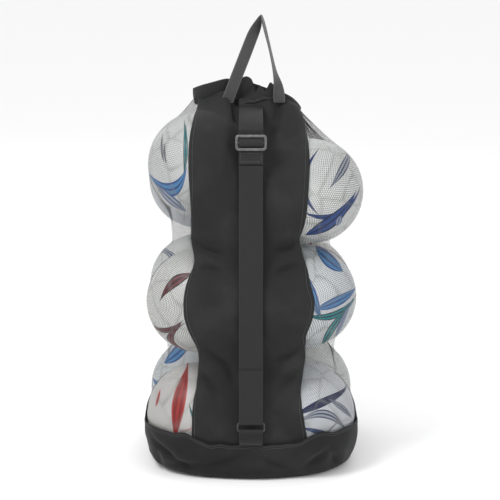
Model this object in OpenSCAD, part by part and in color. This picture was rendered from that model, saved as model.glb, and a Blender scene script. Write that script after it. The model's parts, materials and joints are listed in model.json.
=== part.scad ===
/* [Balls] */
// Outer diameter of one ball
ball_d = 219; // [217:0.5:219.5]
// Thickness of a ball's wall: casing, backing cloth and bladder together
ball_wall = 3.2; // [2:0.1:5]
// Diameter of the rubber valve plug in each ball
valve_d = 8; // [6:0.5:12]

/* [Bag] */
// Radius of the net's pinch between two tiers of balls, about each ball's axis
waist_r = 58; // [45:1:70]
// Width of the black panel down the front
panel_w = 226; // [190:2:240]
// Height of the base seam at the sides and back
base_h = 103; // [90:1:115]
// How far the base seam dips at the middle of the front
base_dip = 22; // [0:1:30]
// Thickness of the knitted net
net_t = 1; // [0.8:0.1:1.2]
// Thickness of the panel, base and collar cloth
cloth_t = 1.5; // [1:0.1:1.5]

/* [Mouth] */
// Width of the gathered mouth, from end to end
mouth_w = 226; // [210:2:240]
// Depth of the gathered mouth, from front to back
mouth_d = 120; // [110:2:130]
// Height of the collar band
collar_h = 46; // [40:1:50]

/* [Grab handle] */
// Width of the handle's webbing
handle_w = 25; // [20:1:30]
// Height of the loop above its feet
handle_rise = 170; // [120:5:180]

/* [Shoulder strap] */
// Width of the strap's webbing
strap_w = 50; // [40:1:50]
// Thickness of the webbing
web_t = 2; // [1.4:0.1:2]
// Wire diameter of the slider's frame
slider_wire = 4.5; // [3.5:0.1:4.5]
// Height of the slider's frame between its outer bars' centres
slider_gap = 28; // [26:1:32]
// Wire diameter of the base ring
ring_wire = 4; // [3:0.1:4]
// Height of the base ring between its bars' centres
ring_gap = 16; // [14:1:20]

/* [Hidden] */

// Ball centres, three tiers of four: front left, front right, back left, back right
low_tier = [[-112, -110, 114], [112, -110, 114], [-112, 112, 114], [112, 112, 114]];
mid_tier = [[-110, -110, 362], [112, -110, 372], [-112, 112, 350], [112, 112, 342]];
top_tier = [[-104, -104, 652], [124, -108, 597], [-112, 112, 585], [112, 112, 566]];
balls = concat(low_tier, mid_tier, top_tier);
low_z = low_tier[0].z;

// The skin hugs a sphere a little larger than the ball, and stands off more above and below it
skin_r = ball_d / 2 + 0.3;
crown_lift = 7;
crown_ramp = 100;
waist_reach = 150;
waist_top = 560;

// Cloth layers, as distances out from the skin
net_off = 1.5;
layer_air = 0.8;
panel_off = net_off + net_t + layer_air;
outer_off = panel_off + cloth_t + layer_air;

// Mouth and shoulder
mouth_x = -4;
mouth_z = 764;
mouth_end = (mouth_w - mouth_d) / 2;
shoulder_z = 665;
shoulder_tilt = 25;
collar_z = 773;
collar_slope = 0.1;
collar_crown = 14;

// Panel outline and seams
panel_x = -5;
panel_wave = 5;
seam_lap = 2;
panel_foot = 66;
skin_top = 792;
base_round = 15;

// Directions in which the skin's outline is measured, and the grid of every sheet
dir_step = 10;
dirs = [for (a = [0:dir_step:359]) a];
net_cols = 66;
panel_cols = 20;
ring_cols = 72;
sheet_rows = 34;

// The strap's straight run: its inner face passes through these two heights
strap_foot = [-233, 118];
strap_head = [-190, 728];
strap_run = strap_head - strap_foot;
strap_tilt = atan(strap_run.x / strap_run.y);
layer_gap = 0.5;
front_in = web_t + layer_gap;
front_mid = front_in + web_t / 2;
lower_z = [150, 240];
fold_tail = 46;
slider_z = 714;
slider_w = strap_w + 1 + 2 * slider_wire;
slider_out = 10.5;
slider_bar = 4;
ring_low_z = 112;
ring_top_z = ring_low_z + ring_gap;
ring_out = front_in - layer_gap / 2;
wire_gap = 0.2;

// Grab handle
handle_y = -(mouth_d / 2 + outer_off + cloth_t + 0.5 + web_t / 2);
handle_z = 792;
handle_feet_x = [-46, 56];
handle_top_x = 16;
foot_h = 16;
hinge_gap = 3;

thread_t = 0.6;
eyelet_r = [3.5, 7];
eyelet_x = 16;
eyelet_z = 790;

// Distance from a ball's axis to the skin at height z, or none where the ball is out of reach
function reach(b, z) =
    let (
        up = z < low_z && b.z == low_z ? 0 : z - b.z,
        r = skin_r + crown_lift * min(1, abs(up) / crown_ramp),
        cut = r * r - up * up
    )
    abs(up) < waist_reach && z < waist_top ? max(sqrt(max(cut, 0)), waist_r)
    : cut > 0 ? sqrt(cut)
    : -1000;

// How far the balls push the skin out in direction a at height z
function push(a, z) = max([for (b = balls) b.x * cos(a) + b.y * sin(a) + reach(b, z)]);

// Half size of the mouth in direction a
function mouth(a) = mouth_x * cos(a) + mouth_end * abs(cos(a)) + mouth_d / 2;

// Height at which the skin leaves the top balls for the mouth
function shoulder(a) = shoulder_z - shoulder_tilt * cos(a);

// Half size of the bag in direction a at height z
function half(a, z) =
    let (s = shoulder(a), t = min(1, (z - s) / (mouth_z - s)))
    z <= s ? push(a, z) : max(push(a, z), push(a, s) * (1 - t) + mouth(a) * t);

// Half sizes all round at one height
function halves(z) = [for (a = dirs) half(a, z)];

// Distance from the bag's axis to its skin along direction a, from the half sizes at that height
function ray(a, hs) =
    min([for (i = [0:len(dirs) - 1]) let (c = cos(a - dirs[i])) if (c > 0.2) hs[i] / c]);

// One point of the skin, moved out by off
function skin(a, hs, z, off) = let (r = ray(a, hs) + off) [r * cos(a), r * sin(a), z];

// Heights of a sheet's rows, closer together toward the top
function rows(low, high) = [for (i = [0:sheet_rows]) low + (high - low) * sin(90 * i / sheet_rows)];

// Directions of the panel's two edges at height z
function panel_edge(side, hs, z) =
    let (
        front = hs[len(dirs) * 3 / 4],
        w = panel_w / 2 + panel_wave * sin(z * 1.5 + 90 * side),
        squeeze = min(1, front / 150)
    )
    atan2(-front, panel_x + side * w * squeeze);

// Inner face of the strap at height z
function strap_y(z) = strap_foot.x + (z - strap_foot.y) * strap_run.x / strap_run.y;

// The panel sinks between the ball columns, so that the strap lies on it
function dent(p) =
    let (
        u = max(0, 1 - pow(p.x / 84, 2)),
        v = min(1, max(0, (p.z - 140) / 60)),
        deep = max(0, strap_y(p.z) + 1.5 - p.y)
    )
    p.z > strap_head.y ? p : [p.x, p.y + deep * u * u * (3 - 2 * u) * v, p.z];

function base_top(a) = base_h - base_dip * pow(max(0, -sin(a)), 3);
function collar_top(x) = collar_z + collar_h - collar_slope * x - collar_crown * pow(x / (mouth_w / 2), 2);

// A thin closed sheet between two grids of points
module sheet(outer, inner, wrap) {
    nr = len(outer);
    nc = len(outer[0]);
    n = nr * nc;
    last = wrap ? nc - 1 : nc - 2;
    function at(r, c) = r * nc + c % nc;
    function quad(p, q, r, s) = [[p, q, r], [p, r, s]];
    polyhedron(
        points = concat([for (r = outer) each r], [for (r = inner) each r]),
        faces = [
            for (r = [0:nr - 2], c = [0:last]) each concat(
                quad(at(r, c), at(r + 1, c), at(r + 1, c + 1), at(r, c + 1)),
                quad(n + at(r, c), n + at(r, c + 1), n + at(r + 1, c + 1), n + at(r + 1, c))
            ),
            for (c = [0:last]) each concat(
                quad(at(0, c), at(0, c + 1), n + at(0, c + 1), n + at(0, c)),
                quad(at(nr - 1, c), n + at(nr - 1, c), n + at(nr - 1, c + 1), at(nr - 1, c + 1))
            ),
            if (!wrap) for (r = [0:nr - 2]) each concat(
                quad(at(r, 0), n + at(r, 0), n + at(r + 1, 0), at(r + 1, 0)),
                quad(at(r, nc - 1), at(r + 1, nc - 1), n + at(r + 1, nc - 1), n + at(r, nc - 1))
            )
        ]
    );
}

// Outline of a band of even thickness along a path
function unit(v) = v / norm(v);
function side_of(path, i) =
    let (
        a = path[max(0, i - 1)],
        b = path[min(len(path) - 1, i + 1)],
        d = unit(b - a)
    )
    [-d.y, d.x];
function band(path, t) = concat(
    [for (i = [0:len(path) - 1]) path[i] + side_of(path, i) * t / 2],
    [for (i = [len(path) - 1:-1:0]) path[i] - side_of(path, i) * t / 2]
);

// Webbing of width w along a path of [y, z] points
module webbing(path, w) {
    rotate([90, 0, 90])
        translate([0, 0, -w / 2])
            linear_extrude(w)
                polygon(band(path, web_t));
}

// A point at height z, out from the strap's inner face by n
function on_strap(z, n) = [strap_y(z) - n, z];

// A half turn of webbing round a bar, from angle a0 to a1
function turn(centre, r, a0, a1) =
    [for (i = [0:8]) let (a = a0 + (a1 - a0) * i / 8) centre + r * [cos(a), sin(a)]];

// A rectangular wire frame in the strap's plane, centred on the origin
module wire_frame(w, h, d) {
    corners = [[-w, -h], [w, -h], [w, h], [-w, h]] / 2;
    for (i = [0:3]) {
        p = corners[i];
        q = corners[(i + 1) % 4];
        translate([p.x, 0, p.y]) sphere(d = d, $fn = 32);
        translate([(p.x + q.x) / 2, 0, (p.y + q.y) / 2])
            rotate(p.y == q.y ? [0, 90, 0] : [0, 0, 0])
                cylinder(h = norm(q - p), d = d, center = true, $fn = 32);
    }
}

module mesh_body() {
    function grid(off) = [
        for (z = rows(panel_foot, skin_top)) let (
            hs = halves(z),
            a0 = panel_edge(1, hs, z) - seam_lap,
            a1 = panel_edge(-1, hs, z) + seam_lap + 360
        ) [for (i = [0:net_cols]) skin(a0 + (a1 - a0) * i / net_cols, hs, z, off)]
    ];
    color([0.2, 0.2, 0.21]) sheet(grid(net_off + net_t), grid(net_off), false);
}

module front_panel() {
    function grid(off) = [
        for (z = rows(panel_foot, skin_top)) let (
            hs = halves(z),
            a0 = panel_edge(-1, hs, z),
            a1 = panel_edge(1, hs, z)
        ) [for (i = [0:panel_cols]) dent(skin(a0 + (a1 - a0) * i / panel_cols, hs, z, off))]
    ];
    color([0.17, 0.17, 0.18]) sheet(grid(panel_off + cloth_t), grid(panel_off), false);
}

module base_wall() {
    hs = halves(low_z);
    function tuck(z) =
        z < base_round ? base_round - sqrt(base_round * base_round - pow(base_round - z, 2)) : 0;
    function grid(off) = [
        for (v = [0, 0.02, 0.05, 0.1, 0.15, 0.4, 0.7, 1])
            [for (i = [0:ring_cols - 1]) let (a = 360 * i / ring_cols, z = v * base_top(a))
                skin(a, hs, z, off - tuck(z))]
    ];
    color([0.16, 0.16, 0.17]) sheet(grid(outer_off + cloth_t), grid(outer_off), true);
}

module base_floor() {
    hs = halves(low_z);
    color([0.14, 0.14, 0.15])
        linear_extrude(3)
            polygon([for (i = [0:ring_cols - 1]) let (a = 360 * i / ring_cols)
                (ray(a, hs) + outer_off - base_round - 0.5) * [cos(a), sin(a)]]);
}

module collar() {
    hs = halves(collar_z);
    function grid(off) = [
        for (v = [0:0.25:1])
            [for (i = [0:ring_cols - 1]) let (
                a = 360 * i / ring_cols,
                x = ray(a, hs) * cos(a),
                z = collar_z + v * (collar_top(x) - collar_z)
            ) skin(a, hs, z, off)]
    ];
    color([0.22, 0.22, 0.23]) sheet(grid(outer_off + cloth_t), grid(outer_off), true);
}

module drawcord_eyelets() {
    color("dimgray")
        for (side = [-1, 1])
            translate([side * eyelet_x, mouth_d / 2 + outer_off + cloth_t + 0.3, eyelet_z])
                rotate([-90, 0, 0])
                    rotate_extrude($fn = 48)
                        translate([eyelet_r[0], 0]) square([eyelet_r[1] - eyelet_r[0], 1]);
}

// The handle's flat outline: two legs from their feet to a pinched top
module grab_handle() {
    top = handle_z + handle_rise;
    low = handle_z + hinge_gap;
    left = handle_feet_x[0];
    right = handle_feet_x[1];
    color([0.3, 0.3, 0.31])
        translate([0, handle_y + web_t / 2, 0])
            rotate([90, 0, 0])
                linear_extrude(web_t)
                    polygon([
                        [left - handle_w / 2, low], [handle_top_x - 11, top - 8],
                        [handle_top_x - 4, top], [handle_top_x + 4, top],
                        [handle_top_x + 9, top - 8], [right + handle_w / 2, low],
                        [right - handle_w / 2, low], [handle_top_x + 2, top - 34],
                        [left + handle_w / 2, low]
                    ]);
}

module handle_feet() {
    color([0.28, 0.28, 0.29])
        for (x = handle_feet_x)
            translate([x - handle_w / 2, handle_y - web_t / 2, handle_z - foot_h])
                cube([handle_w, web_t, foot_h]);
}

module handle_bartacks() {
    color([0.12, 0.12, 0.12])
        for (x = handle_feet_x, z = [5, 13])
            translate([x - handle_w / 2 + 1, handle_y - web_t / 2 - thread_t - 0.05, handle_z - z])
                cube([handle_w - 2, thread_t, 2]);
}

// From under the collar, over the shoulder and down the straight run
module strap_long() {
    color([0.19, 0.19, 0.2])
        webbing([
            [-79, 772], [-108, 768], [-138, 762], [-164, 752], [-182, 740],
            on_strap(726, web_t / 2), on_strap(lower_z[1] + layer_gap, web_t / 2)
        ], strap_w);
}

// The outer layer, which shortens as the slider comes down
module strap_front() {
    color([0.21, 0.21, 0.22])
        webbing([
            on_strap(slider_z - fold_tail, front_mid), on_strap(lower_z[1] + layer_gap, front_mid)
        ], strap_w);
}

// Both layers over the stretch that stays put above the ring
module strap_lower() {
    color([0.2, 0.2, 0.21])
        for (n = [web_t / 2, front_mid])
            webbing([on_strap(lower_z[1], n), on_strap(lower_z[0] + 1, n)], strap_w);
}

// The strap's turn round the ring's top bar
module strap_loop() {
    r = ring_wire / 2 + wire_gap + web_t / 2;
    bar = on_strap(ring_top_z, ring_out);
    color([0.2, 0.2, 0.21])
        webbing(concat(
            [on_strap(lower_z[0], web_t / 2), on_strap(ring_top_z + 10, web_t / 2 - 0.8)],
            turn(bar, r, 0, -180),
            [on_strap(ring_top_z + 10, front_mid + 0.8), on_strap(lower_z[0], front_mid)]
        ), strap_w);
}

// The strap's sewn end, folded round the slider's middle bar
module strap_fold() {
    r = slider_bar / 2 + wire_gap + web_t / 2;
    bar = on_strap(slider_z, slider_out - 1);
    tail = slider_z - fold_tail;
    color([0.24, 0.24, 0.25])
        webbing(concat(
            [on_strap(tail + 1, front_mid), on_strap(slider_z - 12, front_mid)],
            turn(bar, r, 0, 180),
            [
                on_strap(slider_z - 2.5, slider_out + r - 1.5),
                on_strap(slider_z - 10, front_mid + web_t + 1.7),
                on_strap(slider_z - 13, front_mid + web_t + 0.2),
                on_strap(tail + 1, front_mid + web_t + 0.2)
            ]
        ), strap_w);
}

// The stretch of the long strap that rides over the slider's middle bar
module strap_hump() {
    r = slider_bar / 2 + wire_gap + web_t / 2;
    out = slider_out - 1 + r + web_t + 0.3;
    color([0.22, 0.22, 0.23])
        webbing([
            on_strap(slider_z + 24, front_in + 1.1), on_strap(slider_z + 13, front_in + 1.7),
            on_strap(slider_z + 9.5, front_in + 4.5), on_strap(slider_z + 7, out - 3),
            on_strap(slider_z + 3.5, out), on_strap(slider_z - 3.5, out),
            on_strap(slider_z - 7, out - 3)
        ], strap_w);
}

module strap_slider() {
    centre = on_strap(slider_z, slider_out);
    w = slider_w - slider_wire;
    color("dimgray")
        translate([0, centre.x, centre.y])
            rotate([-strap_tilt, 0, 0]) {
                wire_frame(w, slider_gap, slider_wire);
                translate([0, 1, 0])
                    rotate([0, 90, 0])
                        cylinder(h = w, d = slider_bar, center = true, $fn = 32);
            }
}

module strap_ring() {
    low = on_strap(ring_low_z, ring_out);
    color("dimgray")
        translate([0, low.x, low.y])
            rotate([-strap_tilt, 0, 0])
                translate([0, 0, ring_gap / 2])
                    wire_frame(strap_w + 1.5 + ring_wire, ring_gap, ring_wire);
}

// Where the base wall's outer face crosses the middle of the front
function base_face() = -(halves(low_z)[len(dirs) * 3 / 4] + outer_off + cloth_t);

// Sewn into the base seam, up round the ring's lower bar and down again
module ring_tab() {
    r = ring_wire / 2 + wire_gap + web_t / 2;
    bar = on_strap(ring_low_z, ring_out);
    back = base_face() - 0.3;
    color([0.2, 0.2, 0.21])
        webbing(concat(
            [[back - web_t / 2, 70], [back - web_t / 2, 92]],
            turn(bar, r, 0, 180),
            [[bar.x - r + 0.3, bar.y - 3], [back - web_t * 1.5 - 0.2, 92], [back - web_t * 1.5 - 0.2, 72]]
        ), strap_w);
}

module ring_tab_bartack() {
    back = base_face() - 0.3;
    color([0.12, 0.12, 0.12])
        translate([1 - strap_w / 2, back - 2 * web_t - 0.25 - thread_t, 80])
            cube([strap_w - 2, thread_t, 2]);
}

// One hollow ball, with a seat for its valve facing up and back
module ball(c) {
    translate(c)
        difference() {
            sphere(d = ball_d, $fn = 96);
            sphere(d = ball_d - 2 * ball_wall, $fn = 96);
            rotate([-45, 0, 0])
                translate([0, 0, ball_d / 2 - 1.6]) cylinder(h = 5, d = valve_d, $fn = 24);
        }
}

module ball_valves() {
    color([0.15, 0.15, 0.15])
        for (c = balls)
            translate(c)
                rotate([-45, 0, 0])
                    translate([0, 0, ball_d / 2 - 1.55])
                        cylinder(h = 1.4, d = valve_d - 0.2, $fn = 24);
}

module ball_low_front_left() { color("firebrick") ball(low_tier[0]); }
module ball_low_front_right() { color("navy") ball(low_tier[1]); }
module ball_low_back_left() { color("steelblue") ball(low_tier[2]); }
module ball_low_back_right() { color("white") ball(low_tier[3]); }
module ball_mid_front_left() { color("white") ball(mid_tier[0]); }
module ball_mid_front_right() { color("royalblue") ball(mid_tier[1]); }
module ball_mid_back_left() { color("white") ball(mid_tier[2]); }
module ball_mid_back_right() { color("firebrick") ball(mid_tier[3]); }
module ball_top_front_left() { color("white") ball(top_tier[0]); }
module ball_top_front_right() { color("white") ball(top_tier[1]); }
module ball_top_back_left() { color("navy") ball(top_tier[2]); }
module ball_top_back_right() { color("white") ball(top_tier[3]); }

mesh_body();
front_panel();
base_wall();
base_floor();
collar();
drawcord_eyelets();
grab_handle();
handle_feet();
handle_bartacks();
strap_long();
strap_front();
strap_lower();
strap_loop();
strap_fold();
strap_hump();
strap_slider();
strap_ring();
ring_tab();
ring_tab_bartack();
ball_low_front_left();
ball_low_front_right();
ball_low_back_left();
ball_low_back_right();
ball_mid_front_left();
ball_mid_front_right();
ball_mid_back_left();
ball_mid_back_right();
ball_top_front_left();
ball_top_front_right();
ball_top_back_left();
ball_top_back_right();
ball_valves();
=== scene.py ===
# Mesh ball bag, standing full of footballs
import json
import math
import bmesh
import bpy
import numpy as np
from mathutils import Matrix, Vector


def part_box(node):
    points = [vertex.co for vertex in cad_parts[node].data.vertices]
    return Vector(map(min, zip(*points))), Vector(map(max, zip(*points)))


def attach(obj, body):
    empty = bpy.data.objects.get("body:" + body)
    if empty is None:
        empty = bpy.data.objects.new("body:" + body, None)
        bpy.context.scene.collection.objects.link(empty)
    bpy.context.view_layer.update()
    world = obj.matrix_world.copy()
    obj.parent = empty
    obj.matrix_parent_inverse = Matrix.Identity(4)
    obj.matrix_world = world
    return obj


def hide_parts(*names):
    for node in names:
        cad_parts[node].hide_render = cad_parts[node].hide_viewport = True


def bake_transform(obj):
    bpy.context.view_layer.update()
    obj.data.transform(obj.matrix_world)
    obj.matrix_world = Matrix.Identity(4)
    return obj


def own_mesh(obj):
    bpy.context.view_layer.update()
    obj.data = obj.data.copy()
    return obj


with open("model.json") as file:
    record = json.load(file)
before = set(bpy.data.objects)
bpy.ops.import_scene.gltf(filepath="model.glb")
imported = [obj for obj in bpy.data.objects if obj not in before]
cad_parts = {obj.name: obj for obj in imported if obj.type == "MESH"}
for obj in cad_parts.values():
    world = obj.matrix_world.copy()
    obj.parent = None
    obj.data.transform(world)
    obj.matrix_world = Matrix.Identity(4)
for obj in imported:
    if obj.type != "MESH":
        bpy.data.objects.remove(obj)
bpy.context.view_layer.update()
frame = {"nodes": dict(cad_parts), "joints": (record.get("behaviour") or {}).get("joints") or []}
print("frame loaded:", len(frame["nodes"]), "nodes")

mm = 0.001


# Camera, light and floor

view = {"distance": 4.6, "elevation": 12.0, "aimHeight": 0.4475, "frameWidth": 1.079, "side": -0.002}
studio = {"sky": 1.0, "keyPower": 62, "fillPower": 14, "floorColour": 0.93, "floorRadius": 22.0}


def setInputs(made, values):
    for label, value in values.items():
        made.inputs[label].default_value = value


def lookAt(item, target):
    item.rotation_euler = (Vector(target) - item.location).to_track_quat("-Z", "Y").to_euler()


def makeCamera():
    camera = bpy.data.objects.new("camera", bpy.data.cameras.new("camera"))
    bpy.context.collection.objects.link(camera)
    up = math.radians(view["elevation"])
    target = Vector((view["side"], 0, view["aimHeight"]))
    camera.location = target + view["distance"] * Vector((0, -math.cos(up), math.sin(up)))
    camera.data.angle = 2 * math.atan(view["frameWidth"] / 2 / view["distance"])
    camera.data.clip_end = 60
    lookAt(camera, target)
    bpy.context.scene.camera = camera


def makeLight(name, place, size, power):
    light = bpy.data.lights.new(name, "AREA")
    light.size = size
    light.energy = power
    item = bpy.data.objects.new(name, light)
    bpy.context.collection.objects.link(item)
    item.location = place
    lookAt(item, (0, 0, 0.4))


def makeStudio():
    world = bpy.data.worlds.new("studioSky")
    bpy.context.scene.world = world
    bpy.context.scene.view_settings.view_transform = "Standard"
    world.use_nodes = True
    setInputs(world.node_tree.nodes["Background"], {"Color": (1, 1, 1, 1), "Strength": studio["sky"]})
    makeLight("keyLight", (-1.5, -1.7, 3.1), 1.2, studio["keyPower"])
    makeLight("fillLight", (2.2, -1.6, 1.4), 1.8, studio["fillPower"])
    makeLight("rimLight", (0.6, 2.4, 2.4), 1.4, studio["fillPower"])
    radius = studio["floorRadius"]
    mesh = bpy.data.meshes.new("studioFloor")
    ring = [(radius * math.cos(a), radius * math.sin(a), -0.0006)
            for a in np.linspace(0, 2 * math.pi, 64, endpoint=False)]
    mesh.from_pydata(ring, [], [list(range(64))])
    floor = bpy.data.objects.new("studioFloor", mesh)
    bpy.context.collection.objects.link(floor)
    paint = bpy.data.materials.new("studioPaper")
    paint.use_nodes = True
    shader = paint.node_tree.nodes["Principled BSDF"]
    tone = studio["floorColour"]
    setInputs(shader, {"Base Color": (tone, tone, tone, 1), "Roughness": 0.9, "Specular IOR Level": 0.1})
    mesh.materials.append(paint)


makeCamera()
makeStudio()
print("camera and studio ready")


# Shader node helpers and shared groups

def node(tree, kind, **values):
    made = tree.nodes.new(kind)
    for key, value in values.items():
        setattr(made, key, value)
    return made


def calc(tree, operation, *inputs):
    made = node(tree, "ShaderNodeMath", operation=operation)
    feed(tree, made, inputs)
    return made.outputs[0]


def vecCalc(tree, operation, *inputs):
    made = node(tree, "ShaderNodeVectorMath", operation=operation)
    feed(tree, made, inputs)
    return made.outputs["Value" if operation in ("DOT_PRODUCT", "LENGTH") else "Vector"]


def feed(tree, made, inputs):
    for i, value in enumerate(inputs):
        if isinstance(value, bpy.types.NodeSocket):
            tree.links.new(value, made.inputs[i])
        else:
            made.inputs[i].default_value = value


def smoothStep(tree, value, low, high):
    made = node(tree, "ShaderNodeMapRange", interpolation_type="SMOOTHSTEP")
    feed(tree, made, [value, low, high, 0.0, 1.0])
    return made.outputs["Result"]


def noise(tree, vector, scale, detail=2.0):
    made = node(tree, "ShaderNodeTexNoise")
    tree.links.new(vector, made.inputs["Vector"])
    setInputs(made, {"Scale": scale, "Detail": detail})
    return made.outputs["Fac"]


def mixColour(tree, factor, a, b):
    made = node(tree, "ShaderNodeMix", data_type="RGBA")
    for socket, value in ((made.inputs[0], factor), (made.inputs[6], a), (made.inputs[7], b)):
        if isinstance(value, bpy.types.NodeSocket):
            tree.links.new(value, socket)
        elif socket == made.inputs[0]:
            socket.default_value = value
        else:
            socket.default_value = (*value, 1)
    return made.outputs[2]


def newGroup(name, inputs, outputs):
    tree = bpy.data.node_groups.new(name, "ShaderNodeTree")
    for label, kind, value in inputs:
        socket = tree.interface.new_socket(label, in_out="INPUT", socket_type=kind)
        if value is not None:
            socket.default_value = value
    for label, kind in outputs:
        tree.interface.new_socket(label, in_out="OUTPUT", socket_type=kind)
    return tree, node(tree, "NodeGroupInput"), node(tree, "NodeGroupOutput")


def place(tree, group, **values):
    made = node(tree, "ShaderNodeGroup", node_tree=group)
    for label, value in values.items():
        socket = made.inputs[label]
        if isinstance(value, bpy.types.NodeSocket):
            tree.links.new(value, socket)
        else:
            socket.default_value = value
    return made


vectorKind = "NodeSocketVector"
floatKind = "NodeSocketFloat"


def makeWeaveGroup():
    # Over-and-under yarns of a plain weave, from flat cloth coordinates in metres
    tree, start, end = newGroup(
        "clothWeave",
        [("Flat", vectorKind, None), ("Yarn", floatKind, 0.0012), ("Slub", floatKind, 0.3)],
        [("Height", floatKind), ("Shade", floatKind)])
    flat = start.outputs["Flat"]
    yarns = calc(tree, "DIVIDE", math.pi, start.outputs["Yarn"])
    split = node(tree, "ShaderNodeSeparateXYZ")
    tree.links.new(flat, split.inputs[0])
    across = calc(tree, "MULTIPLY", split.outputs["X"], yarns)
    along = calc(tree, "MULTIPLY", split.outputs["Y"], yarns)
    warp = calc(tree, "ABSOLUTE", calc(tree, "SINE", across))
    weft = calc(tree, "ABSOLUTE", calc(tree, "SINE", along))
    swap = calc(tree, "MULTIPLY", calc(tree, "SINE", across), calc(tree, "SINE", along))
    over = smoothStep(tree, swap, -0.25, 0.25)
    mixed = node(tree, "ShaderNodeMix", data_type="FLOAT")
    tree.links.new(over, mixed.inputs[0])
    tree.links.new(warp, mixed.inputs[2])
    tree.links.new(weft, mixed.inputs[3])
    slub = noise(tree, flat, 260.0, 2.0)
    height = calc(tree, "MULTIPLY_ADD", slub, start.outputs["Slub"], mixed.outputs[0])
    tree.links.new(height, end.inputs["Height"])
    cloud = noise(tree, flat, 9.0, 3.0)
    shade = calc(tree, "MULTIPLY_ADD", calc(tree, "SUBTRACT", cloud, 0.5), 0.7, 1.0)
    tree.links.new(shade, end.inputs["Shade"])
    return tree


def makeRibGroup():
    # Webbing: ribs along the strap crossed by fine picks, from coordinates across and along it
    tree, start, end = newGroup(
        "webbingRibs",
        [("Flat", vectorKind, None), ("Rib", floatKind, 0.0017), ("Pick", floatKind, 0.0011)],
        [("Height", floatKind), ("Shade", floatKind)])
    split = node(tree, "ShaderNodeSeparateXYZ")
    tree.links.new(start.outputs["Flat"], split.inputs[0])
    rib = calc(tree, "MULTIPLY", split.outputs["X"], calc(tree, "DIVIDE", math.pi, start.outputs["Rib"]))
    pick = calc(tree, "MULTIPLY", split.outputs["Y"], calc(tree, "DIVIDE", math.pi, start.outputs["Pick"]))
    ribs = calc(tree, "POWER", calc(tree, "ABSOLUTE", calc(tree, "SINE", rib)), 0.6)
    lean = calc(tree, "SINE", calc(tree, "ADD", pick, calc(tree, "MULTIPLY", rib, 0.5)))
    height = calc(tree, "MULTIPLY_ADD", lean, 0.35, ribs)
    tree.links.new(height, end.inputs["Height"])
    cloud = noise(tree, start.outputs["Flat"], 30.0, 3.0)
    shade = calc(tree, "MULTIPLY_ADD", calc(tree, "SUBTRACT", cloud, 0.5), 0.6, 1.0)
    tree.links.new(shade, end.inputs["Shade"])
    return tree


def makeHoleGroup():
    # Staggered round holes of a knitted net: 1 on the yarn, 0 in a hole
    tree, start, end = newGroup(
        "netHoles",
        [("Flat", vectorKind, None), ("Pitch", floatKind, 0.003), ("Hole", floatKind, 0.46)],
        [("Yarn", floatKind)])
    scaled = vecCalc(tree, "SCALE", start.outputs["Flat"])
    scale = scaled.node
    tree.links.new(calc(tree, "DIVIDE", 1.0, start.outputs["Pitch"]), scale.inputs["Scale"])
    cell = (1.0, math.sqrt(3), 1.0)
    gaps = []
    for shift in ((0, 0, 0), (0.5, math.sqrt(3) / 2, 0)):
        moved = vecCalc(tree, "ADD", scaled, shift)
        wrapped = vecCalc(tree, "MODULO", vecCalc(tree, "ADD", moved, (1000.0, 1000 * math.sqrt(3), 0)), cell)
        centred = vecCalc(tree, "SUBTRACT", wrapped, (0.5, math.sqrt(3) / 2, 0))
        flatOnly = vecCalc(tree, "MULTIPLY", centred, (1, 1, 0))
        gaps.append(vecCalc(tree, "LENGTH", flatOnly))
    nearest = calc(tree, "MINIMUM", *gaps)
    rim = calc(tree, "SUBTRACT", nearest, start.outputs["Hole"])
    tree.links.new(smoothStep(tree, rim, -0.02, 0.02), end.inputs["Yarn"])
    return tree


def makeStreakGroup():
    # One tapered, bent streak on a ball, from the direction out of the ball's centre
    tree, start, end = newGroup(
        "ballStreak",
        [("Spot", vectorKind, None), ("Across", vectorKind, None), ("Along", vectorKind, None),
         ("Offset", floatKind, 0.3), ("Bend", floatKind, 0.3), ("Middle", floatKind, 0.0),
         ("Reach", floatKind, 0.6), ("Width", floatKind, 0.06), ("Lean", floatKind, 0.0)],
        [("Mark", floatKind), ("Core", floatKind)])
    spot, get = start.outputs["Spot"], start.outputs
    across = vecCalc(tree, "DOT_PRODUCT", spot, get["Across"])
    along = vecCalc(tree, "DOT_PRODUCT", spot, get["Along"])
    past = calc(tree, "SUBTRACT", along, get["Middle"])
    bend = calc(tree, "MULTIPLY", calc(tree, "MULTIPLY", past, past), get["Bend"])
    away = calc(tree, "ABSOLUTE", calc(tree, "SUBTRACT", calc(tree, "SUBTRACT", across, get["Offset"]), bend))
    run = calc(tree, "DIVIDE", past, get["Reach"])
    taper = calc(tree, "MAXIMUM", calc(tree, "SUBTRACT", 1.0, calc(tree, "MULTIPLY", run, run)), 0.0)
    lean = calc(tree, "MULTIPLY_ADD", run, get["Lean"], 1.0)
    width = calc(tree, "MULTIPLY", calc(tree, "MULTIPLY", taper, lean), get["Width"])
    inside = calc(tree, "SUBTRACT", width, away)
    tree.links.new(smoothStep(tree, inside, 0.0, 0.006), end.inputs["Mark"])
    third = calc(tree, "ABSOLUTE", calc(tree, "SUBTRACT", away, calc(tree, "MULTIPLY", width, 0.42)))
    core = calc(tree, "SUBTRACT", calc(tree, "MULTIPLY", width, 0.30), third)
    tree.links.new(smoothStep(tree, core, 0.0, 0.006), end.inputs["Core"])
    return tree


def makeDustGroup():
    # Soft blotches of handling and dust, from a place in metres
    tree, start, end = newGroup(
        "handlingDust",
        [("Place", vectorKind, None), ("Size", floatKind, 14.0), ("Amount", floatKind, 0.3)],
        [("Mask", floatKind)])
    broad = node(tree, "ShaderNodeTexNoise")
    tree.links.new(start.outputs["Place"], broad.inputs["Vector"])
    tree.links.new(start.outputs["Size"], broad.inputs["Scale"])
    broad.inputs["Detail"].default_value = 5.0
    mask = smoothStep(tree, broad.outputs["Fac"], 0.45, 0.75)
    tree.links.new(calc(tree, "MULTIPLY", mask, start.outputs["Amount"]), end.inputs["Mask"])
    return tree


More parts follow.
